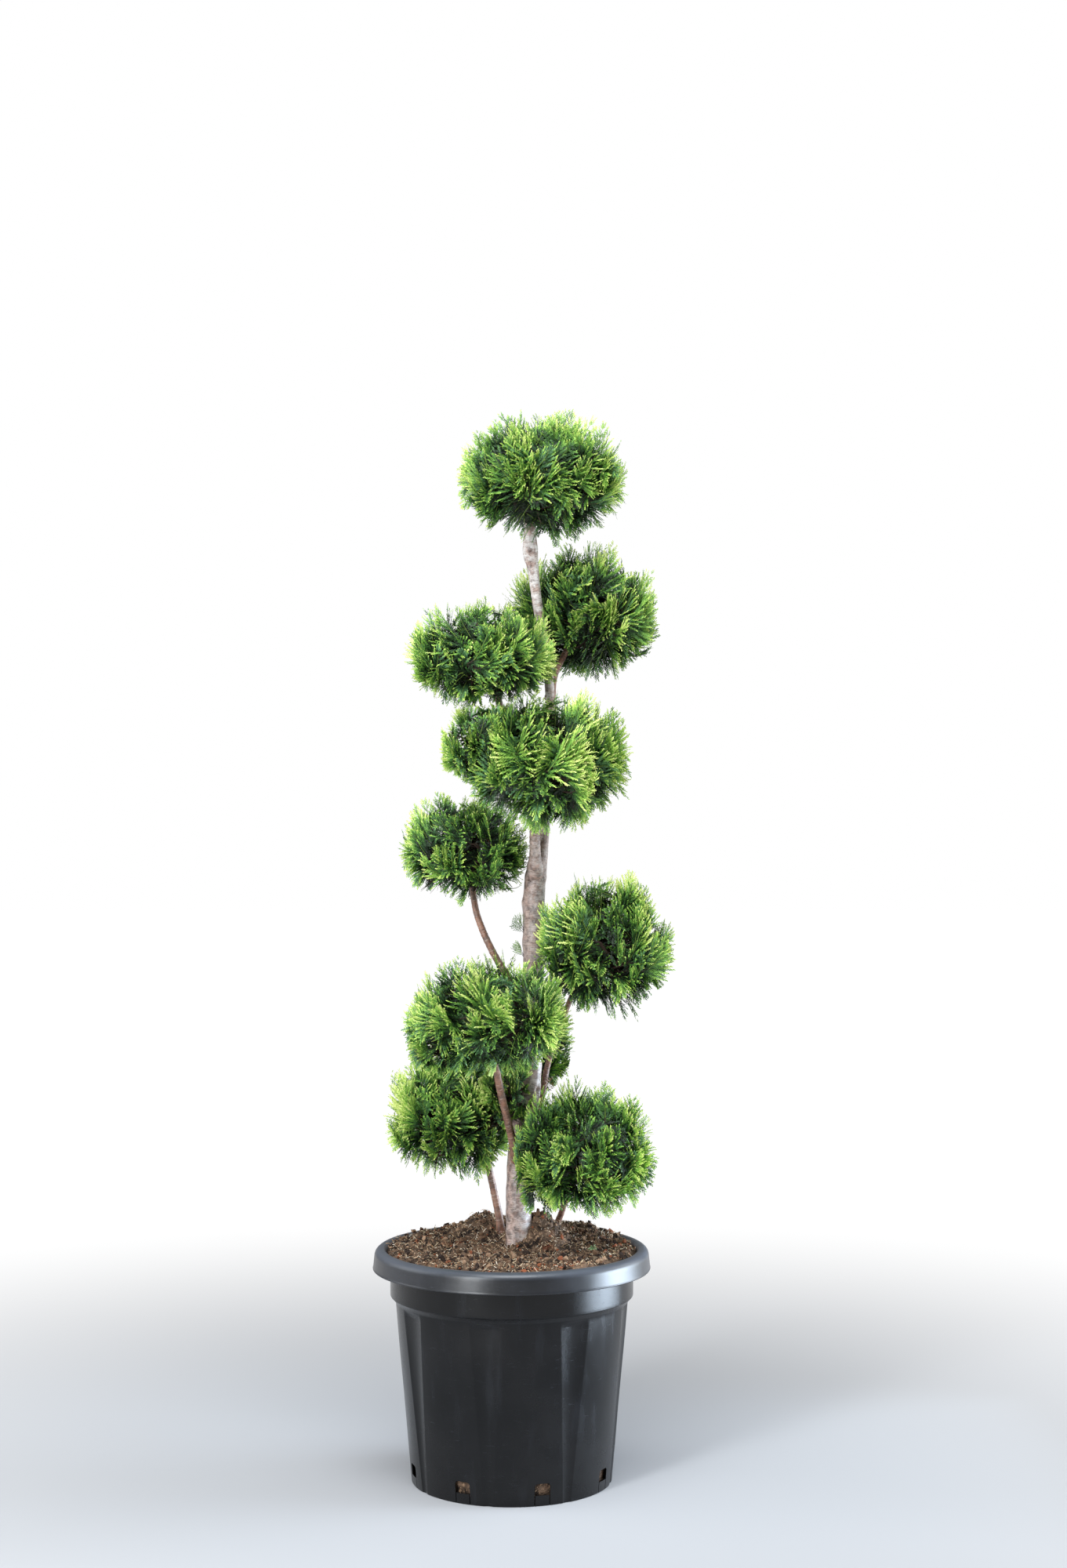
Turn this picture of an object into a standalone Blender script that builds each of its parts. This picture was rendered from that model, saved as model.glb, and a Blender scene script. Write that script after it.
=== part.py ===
"""Lawson cypress clipped into ten round tufts on bare boughs, in a black nursery container.

Metres, +Z up. The origin is the middle of the container's flat underside, and -Y is the front.
Every trunk, bough, stem and tuft is a solid of its own, 0.3 mm clear of what carries it.
"""
import math
import random

import bmesh
import bpy
import numpy as np
from mathutils import Matrix, Vector, noise

CLEARANCE = 0.0003

# Container: thin moulded plastic, a folded rim over a plain band over a tapered, fluted body.
POT_HEIGHT = 0.320
POT_WALL = 0.0018
FLOOR = 0.0025
BASE_RADIUS = 0.1385
BASE_EDGE = 0.0015
BODY_TOP = 0.2475
BODY_TOP_RADIUS = 0.1604
BAND_BOTTOM = 0.2555
BAND_RADIUS = 0.1680
RIM_BOTTOM = 0.2920
RIM_RADIUS = 0.1920
RIM_MOUTH_RADIUS = 0.1745
RIM_ROUNDING = 0.0030

# Eight shallow flutes hang below the band and fade out above the base.
FLUTES = 8
FLUTE_PHASE = math.radians(-59.5)
FLUTE_HALF_WIDTH = math.radians(9.0)
FLUTE_EDGE = math.radians(0.7)
FLUTE_DEPTH = 0.0020
FLUTE_TOP = 0.2440
FLUTE_FULL = 0.2380
FLUTE_END = 0.0600
WALL_STEPS = (RIM_BOTTOM, BAND_BOTTOM, BODY_TOP, FLUTE_TOP, FLUTE_FULL, FLUTE_END)

# Eight drain holes low in the wall.
DRAIN_HOLES = 8
DRAIN_PHASE = math.radians(-72.5)
DRAIN_WIDTH = 0.022
DRAIN_HEIGHT = 0.016
DRAIN_MIDDLE = 0.0225
DRAIN_REACH = 0.010

# Compost: level just under the mouth, heaped behind the trunk. Mounds are x, y, height, spread.
SOIL_EDGE = 0.3130
SOIL_LEVEL = 0.3190
SOIL_MOUNDS = (
    (-0.030, 0.090, 0.029, 0.050),
    (0.042, 0.020, 0.034, 0.036),
    (0.085, 0.085, 0.016, 0.050),
    (-0.120, 0.000, 0.006, 0.040),
)
SOIL_GAP = 0.0005
SOIL_LUMP = 0.0035
SOIL_LUMP_SIZE = 0.035
SOIL_RINGS = (0.93, 0.76, 0.58, 0.40, 0.22)

# Trunk centre line and radius, from the flat cut at the compost to its tip in the top tuft.
TRUNK_FOOT = 0.3175
TRUNK = (
    (0.0100, 0.000, TRUNK_FOOT, 0.0212),
    (0.0100, 0.000, 0.345, 0.0185),
    (0.0085, 0.000, 0.420, 0.0160),
    (0.0145, 0.000, 0.483, 0.0155),
    (0.0235, 0.003, 0.531, 0.0152),
    (0.0285, 0.006, 0.601, 0.0146),
    (0.0296, 0.008, 0.710, 0.0138),
    (0.0307, 0.006, 0.797, 0.0148),
    (0.0340, 0.005, 0.838, 0.0140),
    (0.0430, 0.010, 0.873, 0.0078),
    (0.0482, 0.014, 0.938, 0.0066),
    (0.0535, 0.015, 1.040, 0.0064),
    (0.0520, 0.013, 1.100, 0.0066),
    (0.0460, 0.009, 1.145, 0.0066),
    (0.0360, 0.005, 1.205, 0.0068),
    (0.0295, 0.002, 1.258, 0.0080),
    (0.0255, 0.000, 1.284, 0.0098),
    (0.0265, 0.000, 1.345, 0.0060),
)
TRUNK_SIDES = 12
TRUNK_STEP = 0.034
ROOT_FLARE = 0.16
ROOT_FLARE_HEIGHT = 0.020
ROOT_LOBES = 3
ROOT_LOBE_TURN = 0.7

# Clipped tufts: lobes as centre and half sizes, blades of foliage on each, and a noise offset.
TUFTS = {
    "foliage_top": (
        (((0.0395, 0.000, 1.3845), (0.1150, 0.110, 0.0885)),), 42, 1.0),
    "foliage_upper_right": (
        (((0.1010, 0.090, 1.2030), (0.1045, 0.100, 0.0980)),), 38, 2.0),
    "foliage_upper_left": (
        (((-0.0400, -0.040, 1.1370), (0.1005, 0.100, 0.0750)),), 36, 3.0),
    "foliage_middle_front": (
        (((0.0500, -0.086, 0.9930), (0.1065, 0.098, 0.0990)),
         ((-0.0360, -0.080, 1.0070), (0.0580, 0.070, 0.0480))), 46, 4.0),
    "foliage_middle_left": (
        (((-0.0660, 0.008, 0.8710), (0.0885, 0.085, 0.0740)),), 33, 5.0),
    "foliage_middle_right": (
        (((0.1250, -0.047, 0.7410), (0.0915, 0.090, 0.0990)),), 35, 6.0),
    "foliage_lower_front": (
        (((-0.0310, -0.105, 0.6510), (0.1065, 0.100, 0.0800)),), 37, 7.0),
    "foliage_back": (
        (((0.0140, 0.130, 0.5860), (0.0740, 0.074, 0.0780)),), 27, 8.0),
    "foliage_low_left": (
        (((-0.0830, 0.035, 0.5020), (0.0905, 0.090, 0.0930)),), 36, 9.0),
    "foliage_low_right": (
        (((0.1010, -0.047, 0.4620), (0.0935, 0.090, 0.0910)),), 36, 10.0),
}

# Boughs: the tuft each one carries, and its centre line and radius from inside the trunk.
BOUGHS = {
    "bough_upper_right": ("foliage_upper_right", (
        (0.0525, 0.014, 1.078, 0.0050), (0.0600, 0.036, 1.114, 0.0046),
        (0.0715, 0.052, 1.138, 0.0042), (0.0850, 0.070, 1.165, 0.0038))),
    "bough_upper_left": ("foliage_upper_left", (
        (0.0514, 0.014, 0.976, 0.0060), (0.0275, 0.000, 1.009, 0.0056),
        (0.0004, -0.012, 1.036, 0.0053), (-0.0146, -0.018, 1.062, 0.0050),
        (-0.0220, -0.024, 1.090, 0.0046))),
    "bough_middle_front": ("foliage_middle_front", (
        (0.0318, 0.004, 0.822, 0.0076), (0.0322, -0.014, 0.866, 0.0074),
        (0.0318, -0.028, 0.896, 0.0070), (0.0350, -0.048, 0.935, 0.0062))),
    "bough_middle_left": ("foliage_middle_left", (
        (0.0285, 0.006, 0.638, 0.0056), (0.0057, 0.004, 0.675, 0.0052),
        (-0.0247, 0.004, 0.724, 0.0048), (-0.0464, 0.006, 0.773, 0.0045),
        (-0.0560, 0.008, 0.820, 0.0040))),
    "bough_middle_right": ("foliage_middle_right", (
        (0.0150, 0.002, 0.469, 0.0045), (0.0400, 0.020, 0.521, 0.0041),
        (0.0493, 0.022, 0.567, 0.0038), (0.0623, 0.010, 0.612, 0.0037),
        (0.0837, -0.012, 0.670, 0.0036), (0.0950, -0.022, 0.695, 0.0033))),
    "bough_lower_front": ("foliage_lower_front", (
        (0.0090, 0.000, 0.428, 0.0058), (0.0027, -0.022, 0.462, 0.0054),
        (-0.0057, -0.045, 0.502, 0.0052), (-0.0141, -0.060, 0.539, 0.0050),
        (-0.0230, -0.080, 0.590, 0.0046))),
    "bough_back": ("foliage_back", (
        (0.0230, 0.003, 0.510, 0.0056), (0.0225, 0.035, 0.532, 0.0050),
        (0.0180, 0.075, 0.550, 0.0044), (0.0160, 0.100, 0.562, 0.0040))),
    "stem_low_left": ("foliage_low_left", (
        (-0.0150, 0.045, 0.3260, 0.0062), (-0.0178, 0.045, 0.350, 0.0055),
        (-0.0231, 0.045, 0.377, 0.0050), (-0.0340, 0.044, 0.425, 0.0047),
        (-0.0470, 0.042, 0.452, 0.0042))),
    "stem_low_right": ("foliage_low_right", (
        (0.0632, 0.050, 0.3310, 0.0052), (0.0642, 0.050, 0.345, 0.0044),
        (0.0693, 0.043, 0.360, 0.0041), (0.0760, 0.026, 0.384, 0.0039),
        (0.0860, -0.006, 0.418, 0.0036))),
}
BOUGH_SIDES = 8
BOUGH_STEP = 0.022
BOUGH_ENTRY = 0.88
LIMB_UNEVEN = 0.05
LIMB_UNEVEN_ROUND = 1.3
LIMB_UNEVEN_ALONG = 40.0

# Each tuft: a lumpy core of leafy twigs, and toothed blades of scale leaves standing out of it.
CORE_SHARE = 0.83
CORE_SUBDIVISIONS = 2
CORE_LUMP = 0.10
REACH_LUMP = 0.08
LUMP_SIZE = 0.42
LUMP_SHIFT = Vector((7.3, 3.1, 1.0))
STEM_ROOT_SHARE = 0.45
STEM_STRAIGHT = 0.008
BLADE_ROOT_SHARE = 0.62
BLADE_WIDTH_SHARE = 0.50
BLADE_THICKNESS = 0.0034
BLADE_LIFT = 0.22
BLADE_WANDER = 0.16
BLADE_REACH = 1.05
BLADE_TIP_SPREAD = 0.08
BLADE_LIMB_GAP = 0.003
BLADE_SAMPLES = (0.0, 0.25, 0.5, 0.75, 1.0)
LIMB_SAMPLE = 0.004
BLADE_NEIGHBOUR_GAP = 0.030
BLADE_SEED = 31
BLADE_HALF_OUTLINE = ((0.58, 0.50), (0.70, 0.20))
BLADE_APEX = 0.50

# Finishes: colour, roughness, and the angle past which an edge stays sharp on a round piece.
BLACK_PLASTIC = ((0.020, 0.022, 0.025, 1.0), 0.42, 35)
COMPOST = ((0.080, 0.043, 0.028, 1.0), 0.95, 50)
BARK = ((0.300, 0.195, 0.165, 1.0), 0.70, 60)
BOUGH_BARK = ((0.240, 0.105, 0.070, 1.0), 0.70, 60)
FOLIAGE = ((0.135, 0.270, 0.050, 1.0), 0.75, None)


def material(name, colour, roughness):
    """A Principled finish with the piece's own colour."""
    finish = bpy.data.materials.new(name)
    finish.use_nodes = True
    shader = finish.node_tree.nodes["Principled BSDF"]
    shader.inputs["Base Color"].default_value = colour
    shader.inputs["Roughness"].default_value = roughness
    shader.inputs["Metallic"].default_value = 0.0
    return finish


def add_object(name, bm):
    """A mesh object in the scene from a finished bmesh."""
    bmesh.ops.recalc_face_normals(bm, faces=bm.faces)
    mesh = bpy.data.meshes.new(name)
    bm.to_mesh(mesh)
    bm.free()
    piece = bpy.data.objects.new(name, mesh)
    bpy.context.collection.objects.link(piece)
    return piece


def finish_piece(piece, finish):
    """Give a piece its own material, and smooth shading where it is round."""
    colour, roughness, sharp_angle = finish
    piece.data.materials.clear()
    piece.data.materials.append(material(piece.name + "_finish", colour, roughness))
    if sharp_angle:
        piece.data.shade_smooth()
        piece.data.set_sharp_from_angle(angle=math.radians(sharp_angle))


def apply_boolean(piece, operand, operation):
    """Join or cut a piece with an object or a collection, keep the result, remove the operand."""
    modifier = piece.modifiers.new("join", "BOOLEAN")
    modifier.operation = operation
    if isinstance(operand, bpy.types.Collection):
        modifier.operand_type = "COLLECTION"
        modifier.collection = operand
        used = list(operand.objects)
    else:
        modifier.object = operand
        used = [operand]
    graph = bpy.context.evaluated_depsgraph_get()
    result = bpy.data.meshes.new_from_object(piece.evaluated_get(graph))
    piece.modifiers.clear()
    piece.data = result
    for item in used:
        bpy.data.objects.remove(item)
    if isinstance(operand, bpy.types.Collection):
        bpy.data.collections.remove(operand)


def keep_main_body(piece):
    """Drop loose scraps, and the walls of any sealed hollow, which fills it."""
    bm = bmesh.new()
    bm.from_mesh(piece.data)
    unseen = set(bm.verts)
    bodies = []
    while unseen:
        body = [unseen.pop()]
        for vert in body:
            for edge in vert.link_edges:
                other = edge.other_vert(vert)
                if other in unseen:
                    unseen.remove(other)
                    body.append(other)
        bodies.append(body)
    bodies.sort(key=len)
    for body in bodies[:-1]:
        bmesh.ops.delete(bm, geom=body, context="VERTS")
    bm.to_mesh(piece.data)
    bm.free()


def bridge(bm, lower, upper):
    """Faces between two rings of the same number of points, or from a ring to one point."""
    count = max(len(lower), len(upper))
    for i in range(count):
        j = (i + 1) % count
        corners = []
        for ring, index in ((lower, i), (lower, j), (upper, j), (upper, i)):
            vert = ring[index % len(ring)]
            if vert not in corners:
                corners.append(vert)
        bm.faces.new(corners)


def wall_radius(height):
    """Outer radius of the container's wall, up to where the rim folds over."""
    heights = (0.0, BODY_TOP, BAND_BOTTOM, RIM_BOTTOM, POT_HEIGHT)
    radii = (BASE_RADIUS, BODY_TOP_RADIUS, BAND_RADIUS, BAND_RADIUS, RIM_MOUTH_RADIUS + POT_WALL)
    return float(np.interp(height, heights, radii))


def wall_angles():
    """Angles round the container, counted from the front, with points at each flute's edges."""
    pitch = 2 * math.pi / FLUTES
    outer = FLUTE_HALF_WIDTH + FLUTE_EDGE
    steps = (-pitch / 2, -outer, -FLUTE_HALF_WIDTH, 0.0, FLUTE_HALF_WIDTH, outer)
    return [(FLUTE_PHASE + pitch * i + step, abs(step)) for i in range(FLUTES) for step in steps]


def wall_ring(bm, height, radius, flute_depth=FLUTE_DEPTH):
    """One ring of the container, pressed in where a flute crosses it."""
    fade = float(np.interp(height, (0.0, FLUTE_END, FLUTE_FULL, FLUTE_TOP), (0.0, 0.0, 1.0, 0.0)))
    ring = []
    for angle, from_flute in wall_angles():
        in_flute = from_flute < FLUTE_HALF_WIDTH + FLUTE_EDGE / 2
        reach = radius - (flute_depth * fade if in_flute else 0.0)
        ring.append(bm.verts.new((reach * math.sin(angle), -reach * math.cos(angle), height)))
    return ring


def make_pot():
    """Thin-walled container with a folded rim, flutes and drain holes."""
    bm = bmesh.new()
    lip = RIM_RADIUS - POT_WALL
    section = [
        (POT_HEIGHT, RIM_MOUTH_RADIUS + POT_WALL),
        (POT_HEIGHT, RIM_RADIUS - RIM_ROUNDING),
        (POT_HEIGHT - RIM_ROUNDING, RIM_RADIUS),
        (RIM_BOTTOM, RIM_RADIUS),
        (RIM_BOTTOM, lip),
        (POT_HEIGHT - RIM_ROUNDING, lip),
        (POT_HEIGHT - POT_WALL, wall_radius(POT_HEIGHT) + POT_WALL),
    ]
    section += [(height, wall_radius(height)) for height in WALL_STEPS]
    section += [(BASE_EDGE, BASE_RADIUS), (0.0, BASE_RADIUS - BASE_EDGE)]
    rings = [wall_ring(bm, height, radius) for height, radius in section]
    rings.append([bm.verts.new((0.0, 0.0, 0.0))])
    rings.append([bm.verts.new((0.0, 0.0, FLOOR))])
    for height in (FLOOR,) + WALL_STEPS[::-1] + (POT_HEIGHT - POT_WALL,):
        rings.append(wall_ring(bm, height, wall_radius(height) - POT_WALL))
    for lower, upper in zip(rings, rings[1:] + rings[:1]):
        if len(lower) > 1 or len(upper) > 1:
            bridge(bm, lower, upper)
    pot = add_object("pot", bm)

    cutter = bmesh.new()
    for i in range(DRAIN_HOLES):
        angle = DRAIN_PHASE + 2 * math.pi * i / DRAIN_HOLES
        place = Matrix.Rotation(angle, 4, "Z") @ Matrix.Translation(
            (0.0, -wall_radius(DRAIN_MIDDLE), DRAIN_MIDDLE))
        size = Matrix.Diagonal((DRAIN_WIDTH, DRAIN_REACH, DRAIN_HEIGHT, 1.0))
        bmesh.ops.create_cube(cutter, size=1.0, matrix=place @ size)
    apply_boolean(pot, add_object("drain_cutter", cutter), "DIFFERENCE")
    finish_piece(pot, BLACK_PLASTIC)


def soil_height(x, y):
    """Height of the compost: level, heaped where the root ball stands proud, and lumpy."""
    height = SOIL_LEVEL
    for mound_x, mound_y, rise, spread in SOIL_MOUNDS:
        height += rise * math.exp(-((x - mound_x) ** 2 + (y - mound_y) ** 2) / spread ** 2)
    return height + SOIL_LUMP * noise.noise(Vector((x, y, SOIL_LEVEL)) / SOIL_LUMP_SIZE)


def make_soil(rooted):
    """Compost that fills the container, with a pocket for the trunk and each stem."""
    bm = bmesh.new()
    fluted = POT_WALL + FLUTE_DEPTH + CLEARANCE
    plain = POT_WALL + SOIL_GAP
    rings = [[bm.verts.new((0.0, 0.0, FLOOR + CLEARANCE))]]
    for height, inset in ((FLOOR + CLEARANCE, fluted), (BODY_TOP, fluted), (BAND_BOTTOM, plain),
                          (RIM_BOTTOM, plain), (SOIL_EDGE, plain)):
        rings.append(wall_ring(bm, height, wall_radius(height) - inset, flute_depth=0.0))
    for share in SOIL_RINGS:
        ring = wall_ring(bm, SOIL_EDGE, share * (wall_radius(SOIL_EDGE) - plain))
        for vert in ring:
            vert.co.z = soil_height(vert.co.x, vert.co.y)
        rings.append(ring)
    rings.append([bm.verts.new((0.0, 0.0, soil_height(0.0, 0.0)))])
    for lower, upper in zip(rings, rings[1:]):
        bridge(bm, lower, upper)
    bmesh.ops.triangulate(bm, faces=bm.faces)
    soil = add_object("soil", bm)
    for path, sides in rooted:
        pocket = add_object("pocket", tube(path, sides, CLEARANCE, flat_foot=True))
        apply_boolean(soil, pocket, "DIFFERENCE")
    keep_main_body(soil)
    finish_piece(soil, COMPOST)


def smooth_path(points, step):
    """Points on a smooth curve through a limb's own points, each an x, y, z and radius."""
    points = np.array(points)
    guide = np.vstack([2 * points[0] - points[1], points, 2 * points[-1] - points[-2]])
    path = []
    for a, b, c, d in zip(guide, guide[1:], guide[2:], guide[3:]):
        spans = max(1, round(float(np.linalg.norm(c[:3] - b[:3])) / step))
        for t in np.arange(spans) / spans:
            path.append(0.5 * (2 * b + (c - a) * t + (2 * a - 5 * b + 4 * c - d) * t ** 2
                               + (3 * b - a - 3 * c + d) * t ** 3))
    path.append(points[-1])
    return np.array(path)


def tube(path, sides, grow=0.0, flat_foot=False):
    """A closed tapering limb round a path, with an uneven round section."""
    bm = bmesh.new()
    centres = [Vector(point[:3]) for point in path]
    radii = [float(point[3]) for point in path]
    side = Vector((1.0, 0.0, 0.0))
    rings = []
    for i, centre in enumerate(centres):
        ahead = (centres[min(i + 1, len(path) - 1)] - centres[max(i - 1, 0)]).normalized()
        side = (side - side.dot(ahead) * ahead).normalized()
        across = ahead.cross(side)
        above_foot = centre.z - TRUNK_FOOT
        flare = ROOT_FLARE * math.exp(-above_foot / ROOT_FLARE_HEIGHT)
        ring = []
        for k in range(sides):
            angle = 2 * math.pi * k / sides
            outward = math.cos(angle) * side + math.sin(angle) * across
            spot = outward * LIMB_UNEVEN_ROUND + centre * LIMB_UNEVEN_ALONG
            uneven = LIMB_UNEVEN * noise.noise(spot)
            lobe = flare * math.cos(ROOT_LOBES * angle + ROOT_LOBE_TURN)
            radius = radii[i] * (1 + uneven + lobe) + grow
            ring.append(bm.verts.new(centre + radius * outward))
        rings.append(ring)
    if flat_foot:
        for vert in rings[0]:
            vert.co.z = centres[0].z - grow
    for lower, upper in zip(rings, rings[1:]):
        bridge(bm, lower, upper)
    bm.faces.new(rings[0])
    bm.faces.new(rings[-1])
    bmesh.ops.triangulate(bm, faces=bm.faces, quad_method="FIXED")
    return bm


def lump(direction, offset, share):
    """How far a tuft's surface is drawn in, in one direction, as clipped growth is."""
    value = noise.noise(direction / LUMP_SIZE + offset * LUMP_SHIFT)
    return 1 - share * (0.5 + 0.5 * value)


def depth_in(tuft, point):
    """0 at the middle of a tuft and 1 on its clipped surface, by the nearest of its lobes."""
    lobes, _, offset = TUFTS[tuft]
    depths = []
    for centre, radii in lobes:
        away = Vector((point[i] - centre[i]) / radii[i] for i in range(3))
        depths.append(away.length / lump(away.normalized(), offset, REACH_LUMP))
    return min(depths)


def in_own_space(tuft, point):
    """Whether a point lies in a tuft's space, and nearer to that tuft than to any other."""
    own = depth_in(tuft, point)
    if own > BLADE_REACH:
        return False
    return all(own + BLADE_NEIGHBOUR_GAP < depth_in(other, point)
               for other in TUFTS if other != tuft)


def limb_samples(paths):
    """Points close together along every limb, each with the limb's radius."""
    samples = []
    for path in paths:
        for start, end in zip(path, path[1:]):
            length = float(np.linalg.norm((end - start)[:3]))
            shares = np.arange(0, 1, min(1.0, LIMB_SAMPLE / length))
            samples.append(start + shares[:, None] * (end - start))
        samples.append(path[-1:])
    return np.vstack(samples)


def clear_of_limbs(root, rim, samples):
    """Whether a blade, sampled from its root to its rim, is clear of the trunk and boughs."""
    points = [root.lerp(edge, share) for edge in rim for share in BLADE_SAMPLES]
    away = np.array(points)[:, None, :] - samples[None, :, :3]
    gaps = np.linalg.norm(away, axis=2) - samples[:, 3]
    return float(gaps.min()) > BLADE_LIMB_GAP


def blade_outline(root, tip, across, width):
    """The toothed outline of one flat spray, and the two raised points of its midrib."""
    along = tip - root
    normal = along.cross(across).normalized()
    rim = [root]
    rim += [root + share * along + half * width * across for share, half in BLADE_HALF_OUTLINE]
    rim.append(tip)
    rim += [root + share * along - half * width * across
            for share, half in reversed(BLADE_HALF_OUTLINE)]
    middle = root + BLADE_APEX * along
    return rim, (middle + BLADE_THICKNESS / 2 * normal, middle - BLADE_THICKNESS / 2 * normal)


def make_blade(collection, rim, apexes):
    """One spray as a thin closed blade, thickest at its midrib."""
    bm = bmesh.new()
    ring = [bm.verts.new(point) for point in rim]
    for apex in apexes:
        bridge(bm, ring, [bm.verts.new(apex)])
    blade = add_object("blade", bm)
    bpy.context.collection.objects.unlink(blade)
    collection.objects.link(blade)


def directions(count, rng):
    """Directions spread evenly over a sphere, each moved a little by chance."""
    turn = math.pi * (3 - math.sqrt(5))
    for i in range(count):
        z = 1 - 2 * (i + 0.5) / count
        flat = math.sqrt(1 - z * z)
        even = Vector((flat * math.cos(turn * i), flat * math.sin(turn * i), z))
        yield (even + BLADE_WANDER * Vector(rng.uniform(-1, 1) for _ in range(3))).normalized()


def make_core(name):
    """The dense lumpy inside of a tuft: one round core for each lobe."""
    lobes, _, offset = TUFTS[name]
    cores = []
    for centre, radii in lobes:
        bm = bmesh.new()
        bmesh.ops.create_icosphere(bm, subdivisions=CORE_SUBDIVISIONS, radius=1.0)
        for vert in bm.verts:
            share = CORE_SHARE * lump(vert.co.normalized(), offset, CORE_LUMP)
            vert.co = Vector(centre[i] + vert.co[i] * share * radii[i] for i in range(3))
        cores.append(add_object(name, bm))
    return cores


def make_tuft(name, bough_path, samples):
    """A clipped tuft: its core, the short stem it grows from and its blades, joined in one."""
    lobes, count, offset = TUFTS[name]
    rng = random.Random(BLADE_SEED + count)
    core, *side_cores = make_core(name)
    parts = bpy.data.collections.new(name + "_parts")
    bpy.context.scene.collection.children.link(parts)
    for side_core in side_cores:
        bpy.context.collection.objects.unlink(side_core)
        parts.objects.link(side_core)

    middle = Vector(lobes[0][0])
    tip, before = Vector(bough_path[-1][:3]), Vector(bough_path[-2][:3])
    ahead = (tip - before).normalized()
    foot = tip + CLEARANCE * ahead
    inner = tip.lerp(middle, STEM_ROOT_SHARE)
    radius = float(bough_path[-1][3])
    stem_path = [(*foot, radius), (*(foot + STEM_STRAIGHT * ahead), radius), (*inner, radius)]
    stem = add_object("stem", tube(stem_path, BOUGH_SIDES))
    bpy.context.collection.objects.unlink(stem)
    parts.objects.link(stem)

    for lobe, (centre, radii) in enumerate(lobes):
        share = math.prod(radii) ** (2 / 3) / sum(math.prod(r) ** (2 / 3) for _, r in lobes)
        for outward in directions(round(count * share), rng):
            reach = BLADE_REACH - BLADE_TIP_SPREAD * rng.random()
            lifted = (outward + Vector((0, 0, BLADE_LIFT * (1 - abs(outward.z))))).normalized()
            roll = rng.uniform(0, math.pi)
            width = BLADE_WIDTH_SHARE * sum(radii) / 3 * rng.uniform(0.85, 1.15)
            root = Vector(centre[i] + outward[i] * BLADE_ROOT_SHARE * radii[i] for i in range(3))
            reach *= lump(lifted, offset, REACH_LUMP)
            tip = Vector(centre[i] + lifted[i] * reach * radii[i] for i in range(3))
            side = (tip - root).orthogonal().normalized()
            across = Matrix.Rotation(roll, 3, tip - root) @ side
            rim, apexes = blade_outline(root, tip, across, width)
            inside = all(in_own_space(name, point) for point in rim)
            if inside and clear_of_limbs(root, rim, samples):
                make_blade(parts, rim, apexes)
    apply_boolean(core, parts, "UNION")
    keep_main_body(core)
    finish_piece(core, FOLIAGE)


def trimmed(path, tuft):
    """A bough's path, cut off where the bough enters its tuft."""
    depths = [depth_in(tuft, point[:3]) for point in path]
    for i in range(1, len(path)):
        if depths[i] < BOUGH_ENTRY:
            share = (depths[i - 1] - BOUGH_ENTRY) / (depths[i - 1] - depths[i])
            end = path[i - 1] + share * (path[i] - path[i - 1])
            return np.vstack([path[:i], end])
    return path


for old in list(bpy.data.objects):
    bpy.data.objects.remove(old)

trunk_path = smooth_path(TRUNK, TRUNK_STEP)
trunk_path = trimmed(trunk_path, "foliage_top")
trunk = add_object("trunk", tube(trunk_path, TRUNK_SIDES, flat_foot=True))
finish_piece(trunk, BARK)

limbs = [trunk_path]
rooted = [(trunk_path, TRUNK_SIDES)]
carriers = {"foliage_top": trunk_path}
for bough_name, (tuft_name, points) in BOUGHS.items():
    path = trimmed(smooth_path(points, BOUGH_STEP), tuft_name)
    from_soil = bough_name.startswith("stem")
    bough = add_object(bough_name, tube(path, BOUGH_SIDES, flat_foot=from_soil))
    limbs.append(path)
    carriers[tuft_name] = path
    if from_soil:
        rooted.append((path, BOUGH_SIDES))
    else:
        saddle = add_object("saddle", tube(trunk_path, TRUNK_SIDES, CLEARANCE))
        apply_boolean(bough, saddle, "DIFFERENCE")
        keep_main_body(bough)
    finish_piece(bough, BOUGH_BARK)

make_pot()
make_soil(rooted)
samples = limb_samples(limbs)
for tuft_name, path in carriers.items():
    make_tuft(tuft_name, path, samples)
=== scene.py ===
"""Looks of a Lawson cypress clipped into round tufts on bare boughs, in a black nursery pot.

Metres, +Z up, with -Y as the front. The pot stands on the floor at z = 0, as in the frame, and
every piece here is built over the solid of the same name.
"""
import math

import bmesh
import bpy
import numpy as np
from mathutils import Matrix, Vector, noise


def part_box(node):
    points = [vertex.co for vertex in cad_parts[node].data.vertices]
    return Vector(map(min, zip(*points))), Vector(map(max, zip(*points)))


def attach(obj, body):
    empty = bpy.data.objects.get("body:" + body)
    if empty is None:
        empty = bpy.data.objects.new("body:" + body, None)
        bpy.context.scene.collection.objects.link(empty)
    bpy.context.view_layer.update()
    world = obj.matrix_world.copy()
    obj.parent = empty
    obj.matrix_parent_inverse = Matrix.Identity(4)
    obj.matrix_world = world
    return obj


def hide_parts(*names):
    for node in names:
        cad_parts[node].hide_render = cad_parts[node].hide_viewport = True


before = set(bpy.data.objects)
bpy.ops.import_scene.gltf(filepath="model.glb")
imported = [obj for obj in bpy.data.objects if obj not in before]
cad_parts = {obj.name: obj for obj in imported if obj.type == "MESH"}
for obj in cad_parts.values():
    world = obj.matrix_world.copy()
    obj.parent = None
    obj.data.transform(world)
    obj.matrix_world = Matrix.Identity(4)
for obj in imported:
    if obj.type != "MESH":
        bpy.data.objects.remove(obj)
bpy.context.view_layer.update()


# Camera: level with the middle of the plant and square to its front, 3.35 m from the trunk.
# The focal length is the photograph's own, in pixels of its 2000 pixel height.
CAMERA_PLACE = (0.030, -3.35, 0.96)
FOCAL_PIXELS = 3088
PHOTO_HEIGHT = 2000
FILM_SIZE = 36

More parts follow.
